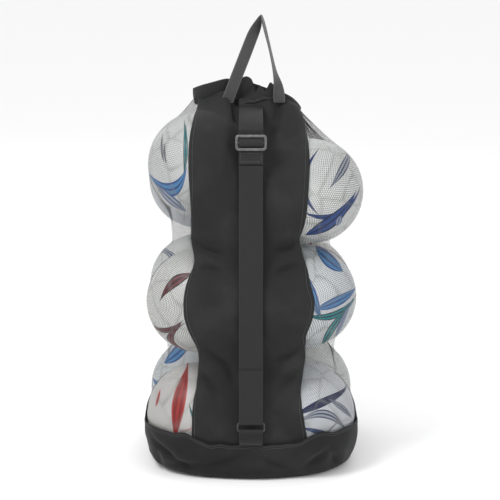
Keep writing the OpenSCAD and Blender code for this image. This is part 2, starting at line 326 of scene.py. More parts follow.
clothWeave = makeWeaveGroup()
webbingRibs = makeRibGroup()
netHoles = makeHoleGroup()
ballStreak = makeStreakGroup()
handlingDust = makeDustGroup()


def newMaterial(name):
    material = bpy.data.materials.new(name)
    material.use_nodes = True
    tree = material.node_tree
    return material, tree, tree.nodes["Principled BSDF"]


def flatCoords(tree):
    return node(tree, "ShaderNodeUVMap", uv_map="flatCloth").outputs["UV"]


def placeCoords(tree):
    return node(tree, "ShaderNodeTexCoord").outputs["Object"]


def bump(tree, shader, height, strength, distance):
    made = node(tree, "ShaderNodeBump")
    setInputs(made, {"Strength": strength, "Distance": distance})
    tree.links.new(height, made.inputs["Height"])
    tree.links.new(made.outputs["Normal"], shader.inputs["Normal"])


def tinted(tree, colour, shade):
    made = node(tree, "ShaderNodeVectorMath", operation="SCALE")
    made.inputs[0].default_value = colour
    tree.links.new(shade, made.inputs["Scale"])
    return made.outputs["Vector"]


def makeCloth(name, colour, yarn, sheen, dustColour=(0.16, 0.16, 0.16), dust=0.06):
    material, tree, shader = newMaterial(name)
    weave = place(tree, clothWeave, Flat=flatCoords(tree), Yarn=yarn)
    dusty = place(tree, handlingDust, Place=placeCoords(tree), Size=11.0, Amount=dust)
    base = tinted(tree, colour, weave.outputs["Shade"])
    # Painted shade: the cloth is darker in the valleys between the yarns
    valleyShade = smoothStep(tree, weave.outputs["Height"], 0.1, 0.8)
    deep = mixColour(tree, valleyShade, [c * 0.45 for c in colour], base)
    tree.links.new(mixColour(tree, dusty.outputs["Mask"], deep, dustColour), shader.inputs["Base Color"])
    setInputs(shader, {"Roughness": 0.78, "Specular IOR Level": 0.3, "Sheen Weight": sheen,
                       "Sheen Roughness": 0.4, "Sheen Tint": (0.75, 0.77, 0.8, 1)})
    bump(tree, shader, weave.outputs["Height"], 0.5, 0.0004)
    return material


def makeWebbing(name, colour, width, rib, sheen):
    material, tree, shader = newMaterial(name)
    ribs = place(tree, webbingRibs, Flat=flatCoords(tree), Rib=rib)
    base = tinted(tree, colour, ribs.outputs["Shade"])
    # Painted shade: the webbing is darker in the valleys between the ribs
    valleyShade = smoothStep(tree, ribs.outputs["Height"], 0.05, 0.9)
    deep = mixColour(tree, valleyShade, [c * 0.35 for c in colour], base)
    # Painted highlight: the woven edges stand proud and are lightened as if they caught the light
    split = node(tree, "ShaderNodeSeparateXYZ")
    tree.links.new(flatCoords(tree), split.inputs[0])
    offMiddle = calc(tree, "ABSOLUTE", calc(tree, "SUBTRACT", split.outputs["X"], width / 2))
    edge = calc(tree, "MULTIPLY", smoothStep(tree, offMiddle, width / 2 - 0.0030, width / 2 - 0.0016), 0.55)
    tree.links.new(mixColour(tree, edge, deep, [c * 1.9 for c in colour]), shader.inputs["Base Color"])
    setInputs(shader, {"Roughness": 0.62, "Specular IOR Level": 0.4, "Sheen Weight": sheen,
                       "Sheen Roughness": 0.35})
    bump(tree, shader, ribs.outputs["Height"], 0.7, 0.0005)
    return material


def makeNet(name, colour, pitch, hole):
    material, tree, shader = newMaterial(name)
    flat = flatCoords(tree)
    holes = place(tree, netHoles, Flat=flat, Pitch=pitch, Hole=hole)
    shade = calc(tree, "MULTIPLY_ADD", noise(tree, flat, 700.0), 0.8, 0.6)
    tree.links.new(tinted(tree, colour, shade), shader.inputs["Base Color"])
    tree.links.new(holes.outputs["Yarn"], shader.inputs["Alpha"])
    setInputs(shader, {"Roughness": 0.6, "Specular IOR Level": 0.15})
    bump(tree, shader, holes.outputs["Yarn"], 0.4, 0.0003)
    return material


def makeMetal(name, colour, wornColour, roughness):
    material, tree, shader = newMaterial(name)
    spot = placeCoords(tree)
    dusty = place(tree, handlingDust, Place=spot, Size=90.0, Amount=0.8)
    tree.links.new(mixColour(tree, dusty.outputs["Mask"], colour, wornColour), shader.inputs["Base Color"])
    shader.inputs["Metallic"].default_value = 0.85
    fine = noise(tree, spot, 900.0, 3.0)
    tree.links.new(calc(tree, "MULTIPLY_ADD", fine, 0.25, roughness), shader.inputs["Roughness"])
    bump(tree, shader, fine, 0.15, 0.0002)
    return material


def makeThread(name, colour):
    material, tree, shader = newMaterial(name)
    twist = node(tree, "ShaderNodeTexWave", wave_type="BANDS", bands_direction="DIAGONAL")
    tree.links.new(placeCoords(tree), twist.inputs["Vector"])
    twist.inputs["Scale"].default_value = 900.0
    # Painted shade: the thread is darker in the grooves of its twist
    deep = [c * 0.5 for c in colour]
    tree.links.new(mixColour(tree, twist.outputs["Fac"], deep, colour), shader.inputs["Base Color"])
    shader.inputs["Roughness"].default_value = 0.5
    bump(tree, shader, twist.outputs["Fac"], 0.4, 0.0002)
    return material


ballShape = {"detail": 6, "seamWidth": 0.075, "seamDepth": 1.0 * mm, "ink": 1.3}
# Ball graphics are drawn flat and pass straight through the ball from front to back. Each streak: the way
# it runs in degrees from level, then its curve and width as shares of the radius, then rim and core colours.
paint = {
    "navy": (0.010, 0.018, 0.08), "blue": (0.022, 0.08, 0.30),
    "sky": (0.09, 0.28, 0.54), "teal": (0.02, 0.30, 0.34),
    "black": (0.02, 0.02, 0.022), "maroon": (0.20, 0.04, 0.05), "red": (0.50, 0.045, 0.035),
    "deepRed": (0.30, 0.02, 0.02), "grey": (0.40, 0.44, 0.50), "rose": (0.62, 0.36, 0.34),
}
ballLooks = {
    "sweep": {"ground": (0.74, 0.76, 0.75), "streaks": [
        (15, -0.195, 2.2, -0.62, 0.42, 0.11, 0.0, "blue", "sky"),
        (90, 0.27, 0.15, 0.45, 0.48, 0.035, 0.0, "black", "teal"),
        (-42, -0.80, 0.10, -0.06, 0.40, 0.075, 0.3, "blue", "grey"),
        (95, 0.69, -0.5, 0.46, 0.26, 0.020, 0.0, "black", "grey"),
        (97, 0.63, -0.5, 0.40, 0.20, 0.015, 0.0, "black", "grey"),
        (8, 0.45, -0.8, 0.45, 0.45, 0.06, 0.3, "navy", "sky")]},
    "wedge": {"ground": (0.76, 0.78, 0.77), "streaks": [
        (90, 0.16, -0.88, 0.30, 0.62, 0.045, 0.0, "navy", "blue"),
        (52, -0.142, 0.1, 0.70, 0.38, 0.055, 0.9, "navy", "grey"),
        (20, -0.46, 0.85, 0.37, 0.62, 0.052, -0.3, "navy", "blue"),
        (41, -0.58, 0.25, 0.10, 0.66, 0.095, -0.7, "navy", "blue"),
        (74, -0.62, 0.0, -0.28, 0.12, 0.050, 0.0, "blue", "grey")]},
    "quill": {"ground": (0.74, 0.75, 0.73), "streaks": [
        (44, 0.69, -0.55, -0.04, 0.44, 0.060, 0.8, "black", "maroon"),
        (20, -0.20, 0.9, -0.72, 0.42, 0.050, 0.0, "black", "maroon"),
        (100, 0.64, -2.6, -0.54, 0.40, 0.060, 0.0, "black", "maroon"),
        (60, 0.10, 0.4, 0.20, 0.45, 0.055, 0.5, "black", "maroon")]},
    "chevron": {"ground": (0.74, 0.78, 0.80), "streaks": [
        (-69, 0.20, 0.0, -0.20, 0.52, 0.075, 0.0, "blue", "sky"),
        (16, -0.095, 0.0, 0.60, 0.44, 0.080, 0.0, "blue", "sky"),
        (-38, 0.90, 0.0, -0.10, 0.34, 0.070, 0.0, "blue", "sky"),
        (12, -0.30, 0.6, 0.50, 0.52, 0.062, 0.0, "black", "teal"),
        (60, -0.69, -0.25, -0.10, 0.52, 0.062, -0.5, "black", "teal"),
        (68, -0.80, -0.25, -0.06, 0.42, 0.040, -0.3, "blue", "grey")]},
    "flame": {"ground": (0.74, 0.73, 0.71), "streaks": [
        (80, 0.43, -0.15, 0.30, 0.66, 0.095, 0.3, "red", "deepRed"),
        (74, 0.86, 0.0, 0.20, 0.18, 0.020, 0.0, "red", "red"),
        (-72, -0.02, 0.2, -0.26, 0.24, 0.018, 0.0, "black", "teal"),
        (30, 0.05, 0.6, -0.10, 0.30, 0.018, 0.0, "rose", "rose"),
        (62, -0.35, 0.3, 0.10, 0.60, 0.080, 0.3, "red", "deepRed")]},
    "ribbon": {"ground": (0.70, 0.73, 0.77), "streaks": [
        (17, 0.33, -0.15, 0.45, 0.58, 0.060, 0.0, "navy", "navy"),
        (-10, 0.31, -1.2, 0.30, 0.54, 0.060, 0.2, "navy", "grey"),
        (-45, 0.72, -0.4, 0.30, 0.36, 0.035, 0.0, "navy", "grey"),
        (-30, 0.05, -0.5, 0.35, 0.50, 0.050, 0.4, "navy", "blue"),
        (24, -0.30, 0.6, 0.20, 0.50, 0.018, 0.0, "black", "grey")]},
}


def makeBallSkin(name, look):
    material, tree, shader = newMaterial(name)
    spot = node(tree, "ShaderNodeAttribute", attribute_name="ballSpot").outputs["Vector"]
    colour = None
    for turn, offset, bend, middle, reach, width, lean, rim, core in look["streaks"]:
        c, s = math.cos(math.radians(turn)), math.sin(math.radians(turn))
        made = place(tree, ballStreak, Spot=spot, Across=(-s, 0, c), Along=(c, 0, s), Offset=offset,
                     Bend=bend, Middle=middle, Reach=reach, Width=width * ballShape["ink"], Lean=lean)
        below = look["ground"] if colour is None else colour
        colour = mixColour(tree, made.outputs["Mark"], below, paint[rim])
        colour = mixColour(tree, made.outputs["Core"], colour, paint[core])
    seam = node(tree, "ShaderNodeAttribute", attribute_name="ballSeam").outputs["Fac"]
    grime = mixColour(tree, calc(tree, "MULTIPLY", seam, 0.5), colour, (0.24, 0.24, 0.23))
    scuff = place(tree, handlingDust, Place=placeCoords(tree), Size=26.0, Amount=0.16)
    scuffed = mixColour(tree, scuff.outputs["Mask"], grime, (0.50, 0.50, 0.46))
    tree.links.new(scuffed, shader.inputs["Base Color"])
    grain = node(tree, "ShaderNodeTexVoronoi")
    tree.links.new(placeCoords(tree), grain.inputs["Vector"])
    grain.inputs["Scale"].default_value = 620.0
    setInputs(shader, {"Roughness": 0.40, "Coat Weight": 0.15, "Coat Roughness": 0.25})
    bump(tree, shader, grain.outputs["Distance"], 0.25, 0.0003)
    return material


handle = {"width": 0.025, "thick": 1.8 * mm, "foot": 0.016, "bendOver": 0.008, "stand": 2.4 * mm}
strap = {"width": 0.050, "thick": 1.9 * mm, "tabEnd": 0.0785, "layerStep": 2.5 * mm, "ringWire": 2.0 * mm,
         "sliderWire": 3.1 * mm, "barWire": 2.0 * mm, "air": 0.25 * mm, "keep": 0.3}
finishes = {
    "panel": makeCloth("panelOxford", (0.012, 0.012, 0.0125), 0.0012, 0.08),
    "base": makeCloth("baseOxford", (0.008, 0.008, 0.0085), 0.0013, 0.06),
    "collar": makeCloth("collarOxford", (0.012, 0.012, 0.0125), 0.0011, 0.08),
    "net": makeNet("netKnit", (0.010, 0.010, 0.011), 0.0040, 0.475),
    "strap": makeWebbing("strapWebbing", (0.007, 0.007, 0.0075), strap["width"], 0.0017, 0.0),
    "handle": makeWebbing("handleWebbing", (0.052, 0.052, 0.054), handle["width"], 0.0015, 0.3),
    "slider": makeMetal("gunmetalSlider", (0.13, 0.13, 0.135), (0.24, 0.24, 0.25), 0.32),
    "blackened": makeMetal("blackenedSteel", (0.06, 0.06, 0.062), (0.14, 0.14, 0.14), 0.36),
    "thread": makeThread("sewingThread", (0.09, 0.09, 0.092)),
    "valve": makeCloth("valveRubber", (0.02, 0.02, 0.02), 0.0008, 0.0),
}
for key, look in ballLooks.items():
    finishes[key] = makeBallSkin(key + "BallSkin", look)
print("materials ready:", len(finishes))


# Mesh helpers

def unit(v):
    v = np.asarray(v, float)
    return v / (np.linalg.norm(v, axis=-1, keepdims=True) + 1e-12)


def lengthAlong(path):
    # How far along a path each of its points is
    return np.concatenate([[0], np.cumsum(np.linalg.norm(np.diff(path, axis=0), axis=1))])


def addPiece(name, points, faces, finish, uvs=None, smooth=True, marks=None):
    mesh = bpy.data.meshes.new(name)
    mesh.from_pydata([tuple(p) for p in points], [], faces)
    mesh.validate()
    if uvs is not None:
        layer = mesh.uv_layers.new(name="flatCloth")
        corners = np.zeros(len(mesh.loops), dtype=np.int32)
        mesh.loops.foreach_get("vertex_index", corners)
        layer.data.foreach_set("uv", np.asarray(uvs, float)[corners].ravel())
    for label, (kind, values) in (marks or {}).items():
        mark = mesh.attributes.new(label, kind, "POINT")
        field = "vector" if kind == "FLOAT_VECTOR" else "value"
        mark.data.foreach_set(field, np.asarray(values, float).ravel())
    mesh.materials.append(finishes[finish])
    if smooth:
        mesh.polygons.foreach_set("use_smooth", [True] * len(mesh.polygons))
    item = bpy.data.objects.new(name, mesh)
    bpy.context.collection.objects.link(item)
    return item


def settle(item, body, slotName, *replaced):
    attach(item, body)
    if replaced:
        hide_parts(*replaced)
    return item


def addSubdivision(item):
    modifier = item.modifiers.new("smoother", "SUBSURF")
    modifier.levels = 1
    modifier.render_levels = 1
    bpy.context.view_layer.objects.active = item
    with bpy.context.temp_override(object=item, active_object=item, selected_objects=[item]):
        bpy.ops.object.modifier_apply(modifier="smoother")


def sheetFaces(rows, cols, wrap):
    # Faces of a closed sheet between two grids stacked one after the other
    last = cols if wrap else cols - 1
    half = rows * cols
    faces = []
    for r in range(rows - 1):
        for c in range(last):
            a, b = r * cols + c, r * cols + (c + 1) % cols
            faces.append((a, b, b + cols, a + cols))
            faces.append((half + a, half + a + cols, half + b + cols, half + b))
    for c in range(last):
        a, b = c, (c + 1) % cols
        faces.append((b, a, half + a, half + b))
        a, b = a + (rows - 1) * cols, b + (rows - 1) * cols
        faces.append((a, b, half + b, half + a))
    if not wrap:
        for r in range(rows - 1):
            a, b = r * cols, (r + 1) * cols
            faces.append((a, b, half + b, half + a))
            a, b = a + cols - 1, b + cols - 1
            faces.append((b, a, half + a, half + b))
    return faces


def gridNormals(grid, wrap):
    # Outward normals of a grid whose rows go up and whose columns go anticlockwise seen from above
    up = np.gradient(grid, axis=0)
    if wrap:
        across = np.roll(grid, -1, 1) - np.roll(grid, 1, 1)
    else:
        across = np.gradient(grid, axis=1)
    normal = np.cross(across, up)
    return normal / (np.linalg.norm(normal, axis=2, keepdims=True) + 1e-12)


def addSheet(name, grid, inner, outer, finish, flat, wrap=False):
    # A cloth sheet from a grid of points, with its two faces at the given distances out along the normals
    normal = gridNormals(grid, wrap)
    rows, cols = grid.shape[:2]
    points = np.concatenate([(grid + normal * outer).reshape(-1, 3), (grid + normal * inner).reshape(-1, 3)])
    uvs = np.tile(flat.reshape(-1, 2), (2, 1))
    return addPiece(name, points, sheetFaces(rows, cols, wrap), finish, uvs)


def flatGrid(rows, cols, high, wide):
    v, u = np.meshgrid(np.linspace(0, high, rows), np.linspace(0, wide, cols), indexing="ij")
    return np.stack([u, v], axis=2)


def curve(points, count, closed=False):
    # Catmull-Rom through given points, evenly spaced along its length
    pts = np.asarray(points, float)
    n = len(pts)
    steps = 24
    out = []
    for i in range(n if closed else n - 1):
        if closed:
            p = [pts[(i + k) % n] for k in (-1, 0, 1, 2)]
        else:
            p = [pts[min(n - 1, max(0, i + k))] for k in (-1, 0, 1, 2)]
        for t in np.linspace(0, 1, steps, endpoint=False):
            out.append(0.5 * (2 * p[1] + (p[2] - p[0]) * t + (2 * p[0] - 5 * p[1] + 4 * p[2] - p[3]) * t * t
                              + (3 * p[1] - p[0] - 3 * p[2] + p[3]) * t ** 3))
    out.append(pts[0] if closed else pts[-1])
    out = np.array(out)
    gone = lengthAlong(out)
    at = np.linspace(0, gone[-1], count, endpoint=not closed)
    return np.stack([np.interp(at, gone, out[:, k]) for k in range(out.shape[1])], axis=1)


def addWebbing(name, path, side, width, thick, finish):
    # A strap swept along path; side is the direction across it at each point
    path, side = np.asarray(path, float), unit(side)
    ahead = unit(np.gradient(path, axis=0))
    side = unit(side - ahead * (side * ahead).sum(1)[:, None])
    out = unit(np.cross(side, ahead))
    half, edge = width / 2, thick / 2
    profile = [(-half, 0), (-half + edge * 0.3, edge * 0.75), (-half + edge, edge)]
    profile += [(half * k, edge) for k in (-0.6, -0.2, 0.2, 0.6)]
    profile += [(half - edge, edge), (half - edge * 0.3, edge * 0.75), (half, 0)]
    lower = [(x, -y) for x, y in profile[1:-1]][::-1]
    ring = profile + lower
    points = np.stack([path + side * x + out * y for x, y in ring], axis=1)
    gone = lengthAlong(path)
    uvs = np.stack([np.tile([x + half for x, y in ring], (len(path), 1)),
                    np.tile(gone[:, None], (1, len(ring)))], axis=2)
    count = len(ring)
    faces = []
    for r in range(len(path) - 1):
        for c in range(count):
            a, b = r * count + c, r * count + (c + 1) % count
            faces.append((a, a + count, b + count, b))
    faces.append(list(range(count)))
    faces.append([(len(path) - 1) * count + c for c in range(count)][::-1])
    return addPiece(name, points.reshape(-1, 3), faces, finish, uvs.reshape(-1, 2))


def tube(path, radius, closed, sides=10, flatten=1.0, plane=(0, 1, 0)):
    # Points and faces of a round bar along a path; flatten thins it along plane
    path = np.asarray(path, float)
    if closed:
        ahead = unit(np.roll(path, -1, 0) - np.roll(path, 1, 0))
    else:
        ahead = unit(np.gradient(path, axis=0))
    first = unit(np.tile(plane, (len(path), 1)) - ahead * (ahead @ np.asarray(plane, float))[:, None])
    second = np.cross(ahead, first)
    turn = np.linspace(0, 2 * math.pi, sides, endpoint=False)
    points = np.stack([path + radius * (first * math.cos(a) * flatten + second * math.sin(a))
                       for a in turn], 1)
    faces = []
    rings = len(path)
    for r in range(rings if closed else rings - 1):
        for c in range(sides):
            a, b = r * sides + c, r * sides + (c + 1) % sides
            up = ((r + 1) % rings - r) * sides
            faces.append((a, b, b + up, a + up))
    if not closed:
        faces += [list(range(sides))[::-1], [(rings - 1) * sides + c for c in range(sides)]]
    return points.reshape(-1, 3), faces


def joinParts(parts):
    points, faces, start = [], [], 0
    for some, made in parts:
        points.append(some)
        faces += [tuple(i + start for i in f) for f in made]
        start += len(some)
    return np.concatenate(points), faces


def stitchParts(path, normals, length=3.0 * mm, gap=1.3 * mm, radius=0.42 * mm):
    # A row of thread stitches lying on a surface, each a small bowed bar that dips in at both ends
    path, normals = np.asarray(path, float), np.asarray(normals, float)
    gone = lengthAlong(path)
    parts = []
    for s in np.arange(gap, gone[-1] - length, length + gap):
        at = s + length * np.array([0, 0.2, 0.5, 0.8, 1])
        spots = np.stack([np.interp(at, gone, path[:, k]) for k in range(3)], 1)
        out = unit(np.stack([np.interp(at, gone, normals[:, k]) for k in range(3)], 1))
        lift = np.array([-0.5, 0.35, 0.6, 0.35, -0.5])[:, None] * radius
        parts.append(tube(spots + out * lift, radius, False, 5))
    return parts


def closeRing(ring):
    return np.concatenate([ring, ring[:1]])


def straightStitches(a, b, *sizes):
    # Stitches from a to b on a face that looks forward
    return stitchParts(np.array([a, b]), np.tile((0, -1.0, 0), (2, 1)), *sizes)


def addStitches(name, parts, body, *replaced):
    points, faces = joinParts(parts)
    settle(addPiece(name, points, faces, "thread"), body, "sewing_thread", *replaced)


def refinish(nodeName, finish):
    # A CAD node that stays as it is, with a better material
    materials = frame["nodes"][nodeName].data.materials
    materials.clear()
    materials.append(finishes[finish])


# Balls

# turn: the ball's graphics about the upright; seams: how its panels are turned under them
ballPlan = {
    "ball_low_front_left": {"skin": "flame", "turn": 0, "seams": (20, 35, 10)},
    "ball_low_front_right": {"skin": "ribbon", "turn": 0, "seams": (70, 15, 40)},
    "ball_low_back_left": {"skin": "chevron", "turn": 180, "seams": (10, 80, 25)},
    "ball_low_back_right": {"skin": "wedge", "turn": 150, "seams": (130, 20, 65)},
    "ball_mid_front_left": {"skin": "quill", "turn": 0, "seams": (35, -25, 60)},
    "ball_mid_front_right": {"skin": "chevron", "turn": 0, "seams": (-30, 40, 15)},
    "ball_mid_back_left": {"skin": "wedge", "turn": 200, "seams": (55, 5, 100)},
    "ball_mid_back_right": {"skin": "flame", "turn": 170, "seams": (15, 60, -30)},
    "ball_top_front_left": {"skin": "sweep", "turn": 0, "seams": (-15, 50, 5)},
    "ball_top_front_right": {"skin": "wedge", "turn": 0, "seams": (40, 20, -20)},
    "ball_top_back_left": {"skin": "ribbon", "turn": 190, "seams": (80, 45, 10)},
    "ball_top_back_right": {"skin": "quill", "turn": 165, "seams": (25, 15, 75)},
}
slotOfSkin = {"sweep": "ball_white", "wedge": "ball_white", "quill": "ball_white", "chevron": "ball_blue",
              "ribbon": "ball_navy", "flame": "ball_red"}


def panelCentres():
    # The 12 five-sided and 20 six-sided panels of a classic ball
    g = (1 + math.sqrt(5)) / 2
    five = [(0, a, b * g) for a in (-1, 1) for b in (-1, 1)]
    five = five + [(p[1], p[2], 0) for p in five] + [(p[2], 0, p[1]) for p in five]
    six = [(a, b, c) for a in (-1, 1) for b in (-1, 1) for c in (-1, 1)]
    flat = [(0, a / g, b * g) for a in (-1, 1) for b in (-1, 1)]
    six = six + [(p[1], p[2], 0) for p in flat] + [(p[2], 0, p[1]) for p in flat] + flat
    return unit(five), unit(six)


def turnMatrix(angles):
    turn = np.eye(3)
    for axis, angle in enumerate(angles):
        c, s = math.cos(math.radians(angle)), math.sin(math.radians(angle))
        i, j = [k for k in range(3) if k != axis]
        step = np.eye(3)
        step[i, i], step[i, j], step[j, i], step[j, j] = c, -s, s, c
        turn = step @ turn
    return turn


def makeBalls():
    work = bmesh.new()
    bmesh.ops.create_icosphere(work, subdivisions=ballShape["detail"], radius=1.0)
    spots = unit([v.co[:] for v in work.verts])
    faces = [tuple(v.index for v in f.verts) for f in work.faces]
    work.free()
    five, six = panelCentres()
    fiveReach, sixReach = 0.355, 0.415
    for name, plan in ballPlan.items():
        low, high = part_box(name)
        centre = np.array((low + high) / 2)
        radius = (high - low)[2] / 2
        swivel = turnMatrix(plan["seams"])
        near = np.concatenate([np.arccos(np.clip(spots @ (five @ swivel).T, -1, 1)) / fiveReach,
                               np.arccos(np.clip(spots @ (six @ swivel).T, -1, 1)) / sixReach], axis=1)
        near.partition(1, axis=1)
        seam = np.exp(-((near[:, 1] - near[:, 0]) / ballShape["seamWidth"]) ** 2)
        skin = spots * (radius - ballShape["seamDepth"] * seam)[:, None]
        points = skin @ turnMatrix((0, 0, plan["turn"])).T
        ball = addPiece(name.replace("ball_", "football_"), points + centre, faces, plan["skin"],
                        marks={"ballSpot": ("FLOAT_VECTOR", spots), "ballSeam": ("FLOAT", seam)})
        settle(ball, "root", slotOfSkin[plan["skin"]], name)
    refinish("ball_valves", "valve")
    print("balls made:", len(ballPlan))


makeBalls()


# The cloth bag, settled over the balls

bag = {
    "cols": 240, "rows": 132, "tightRounds": 160, "rounds": 500, "quickRounds": 40,
    "netSlack": 0.20, "panelSlack": 0.06, "suck": 0.00030, "panelDraw": 0.15, "panelCore": 0.020,
    "fall": 0.00003, "drag": 0.88,
    "netGive": 0.03, "panelGive": 0.25, "netTaper": 0.55, "netWaist": 0.13,
    "panelEase": 1.03, "panelWidth": 0.232, "smoothing": 4, "clear": 1.6 * mm,
    "shoulder": 0.70, "slopeStart": 0.62, "slopeRun": 0.15, "coreTop": 0.60, "seed": 7, "ripple": 1.2 * mm,
    "strapHalf": 0.027, "strapOver": 0.045, "strapClear": 2.4 * mm,
}
boxes = {name: tuple(np.array(c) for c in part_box(name)) for name in frame["nodes"]}
ballSpheres = [((boxes[n][0] + boxes[n][1]) / 2, (boxes[n][1] - boxes[n][0])[2] / 2) for n in ballPlan]
halfBase = boxes["base_wall"][1][0] - 4.2 * mm
seamHigh = boxes["base_wall"][1][2]

# The strap's straight run, from the slider's line of travel
slide = next(j for j in frame["joints"] if j["name"] == "slider_slide")
strapDown = unit(slide["axis"])
strapTop = boxes["strap_front"][1]
layerStep = strap["layerStep"]


def strapBack(z):
    # How far forward the strap's inner face is at height z
    return strapTop[1] + layerStep + (z - strapTop[2]) * strapDown[1] / strapDown[2]


# The mouth: plan of the seam under the collar and of the collar's top edge, anticlockwise seen from
# above and starting at the back. Each point is (x, y, z); the seam's last value is the collar's hem height.
seamRing = [
    (0.000, 0.058, 0.782, 0.772), (-0.030, 0.056, 0.784, 0.773), (-0.060, 0.052, 0.785, 0.773),
    (-0.090, 0.038, 0.786, 0.770), (-0.111, 0.012, 0.786, 0.768), (-0.115, -0.014, 0.784, 0.767),
    (-0.101, -0.038, 0.784, 0.772), (-0.082, -0.051, 0.791, 0.784), (-0.062, -0.060, 0.801, 0.795),
    (-0.049, -0.063, 0.795, 0.790), (-0.040, -0.056, 0.780, 0.776), (-0.034, -0.050, 0.774, 0.768),
    (-0.026, -0.058, 0.775, 0.768), (-0.012, -0.063, 0.779, 0.771), (0.010, -0.064, 0.782, 0.775),
    (0.034, -0.063, 0.787, 0.782), (0.048, -0.060, 0.790, 0.785), (0.055, -0.052, 0.788, 0.784),
    (0.063, -0.058, 0.789, 0.785), (0.080, -0.050, 0.779, 0.774), (0.095, -0.028, 0.763, 0.759),
    (0.101, 0.000, 0.756, 0.752), (0.096, 0.026, 0.760, 0.754), (0.080, 0.044, 0.767, 0.759),
    (0.054, 0.054, 0.773, 0.764), (0.026, 0.058, 0.779, 0.769),
]
rimRing = [
    (0.000, 0.050, 0.802), (-0.030, 0.056, 0.804), (-0.056, 0.046, 0.804), (-0.086, 0.034, 0.800),
    (-0.110, 0.010, 0.797), (-0.119, -0.014, 0.801), (-0.099, -0.042, 0.812), (-0.074, -0.057, 0.821),
    (-0.051, -0.063, 0.828), (-0.039, -0.056, 0.824), (-0.029, -0.034, 0.820), (-0.020, -0.020, 0.823),
    (-0.008, -0.014, 0.824), (0.003, -0.022, 0.817), (0.008, -0.044, 0.800), (0.012, -0.054, 0.794),
    (0.019, -0.044, 0.809), (0.027, -0.056, 0.795), (0.041, -0.042, 0.815), (0.052, -0.054, 0.798),
    (0.068, -0.054, 0.796), (0.083, -0.045, 0.785), (0.096, -0.024, 0.770), (0.101, -0.002, 0.760),
    (0.095, 0.022, 0.764), (0.077, 0.038, 0.773), (0.054, 0.042, 0.781), (0.028, 0.054, 0.792),
]
# Where the panel's two side seams run on the load: (height, left, right)
panelEdges = [
    (0.080, -0.118, 0.113), (0.150, -0.118, 0.101), (0.200, -0.115, 0.105), (0.255, -0.107, 0.114),
    (0.281, -0.108, 0.112), (0.307, -0.118, 0.106), (0.345, -0.131, 0.121), (0.385, -0.134, 0.126),
    (0.412, -0.130, 0.115), (0.459, -0.117, 0.113), (0.511, -0.127, 0.099), (0.562, -0.123, 0.105),
    (0.616, -0.119, 0.108), (0.710, -0.119, 0.114), (0.747, -0.114, 0.113), (0.770, -0.111, 0.100),
]
waists = [(0.226, 0.056, 0.9), (0.470, 0.062, 1.0)]
# How far in the cloth may be drawn between the tiers: (height, half width of the load there)
loadCore = [(0.050, 0.200), (0.226, 0.178), (0.300, 0.184), (0.400, 0.188), (0.470, 0.167), (0.545, 0.172),
            (0.620, 0.160), (0.680, 0.050), (0.760, 0.0)]


def baseOutline(count, half):
    # A rounded square, anticlockwise from the middle of its back edge, evenly spaced
    corner = 0.112
    r = half - corner
    edge = []
    for start, sx, sy in ((90, -1, 1), (180, -1, -1), (270, 1, -1), (0, 1, 1)):
        for a in np.radians(np.linspace(start, start + 90, 40)):
            edge.append((sx * corner + r * math.cos(a), sy * corner + r * math.sin(a)))
    edge = np.array([(0, half)] + edge + [(0, half)])
    gone = lengthAlong(edge)
    at = np.linspace(0, gone[-1], count, endpoint=False)
    return np.stack([np.interp(at, gone, edge[:, k]) for k in (0, 1)], 1), gone[-1]


def baseSeam(x, y):
    # Height of the base seam: low and wavy across the front, rising to the sides
    front = np.clip(-y / halfBase * 1.1, 0, 1) ** 3
    across = np.clip((0.150 - np.abs(x)) / 0.075, 0, 1)
    dip = across * across * (3 - 2 * across) * 25 * mm
    wobble = 1.6 * mm * np.sin(x * 92 + 1.2) + 1.0 * mm * np.sin(x * 171)
    back = np.clip(y / halfBase, 0, 1)
    return seamHigh + 2 * mm * (1 - front) - (dip - wobble) * front - 36 * mm * back


def mouthSeam(cols, panelCols):
    # The top row: the panel takes the front of the mouth nearly flat, the net is gathered into the rest
    ring = curve(seamRing, 720, closed=True)
    left = int(np.argmin(np.linalg.norm(ring[:, :2] - (-0.108, -0.022), axis=1)))
    right = int(np.argmin(np.linalg.norm(ring[:, :2] - (0.090, -0.046), axis=1)))
    first, last = (cols - panelCols) // 2, (cols + panelCols) // 2
    stops = [0, first, last, cols]
    marks = [0, left, right, 720]
    at = np.interp(np.arange(cols), stops, marks)
    return np.stack([np.interp(at, np.arange(721), np.append(ring[:, k], ring[0, k])) for k in range(3)], 1)


def pullPairs(a, b, rest, give):
    step = b - a
    length = np.sqrt((step * step).sum(-1)) + 1e-9
    over = (length - rest) / length
    return step * (np.where(over > 0, 0.5, 0.5 * give) * over)[..., None]


def waistShare(z):
    return sum(share * np.exp(-((z - height) / spread) ** 2) for height, spread, share in waists)


def clearBalls(grid):
    for centre, radius in ballSpheres:
        reach = radius + bag["clear"]
        away = grid - centre
        gap = np.sqrt((away * away).sum(-1))
        hit = gap < reach
        grid[hit] = centre + away[hit] / gap[hit][:, None] * reach


def pullRows(grid, rest, give):
    for s in (0, 1):
        a, b = grid[s:-1:2], grid[s + 1::2]
        n = min(len(a), len(b))
        move = pullPairs(a[:n], b[:n], rest[s::2][:n], give[s::2][:n])
        a[:n] += move
        b[:n] -= move


def pullColumns(grid, rest, give):
    cols = grid.shape[1]
    for s in (0, 1):
        here = np.arange(s, cols, 2)
        there = (here + 1) % cols
        move = pullPairs(grid[:, here], grid[:, there], rest[:, here], give[:, here])
        grid[:, here] += move
        grid[:, there] -= move


def pullSpans(grid, restUp, restAcross, stiff):
    # Bending: points two apart resist being brought close together
    for axis, rest in ((0, restUp), (1, restAcross)):
        ahead = np.roll(grid, -2, axis)
        step = ahead - grid
        length = np.sqrt((step * step).sum(-1)) + 1e-9
        short = np.minimum((length - 1.9 * rest) / length, 0) * 0.5 * stiff
        if axis == 0:
            short[-2:] = 0
        move = step * short[..., None]
        grid += move
        grid -= np.roll(move, 2, axis)


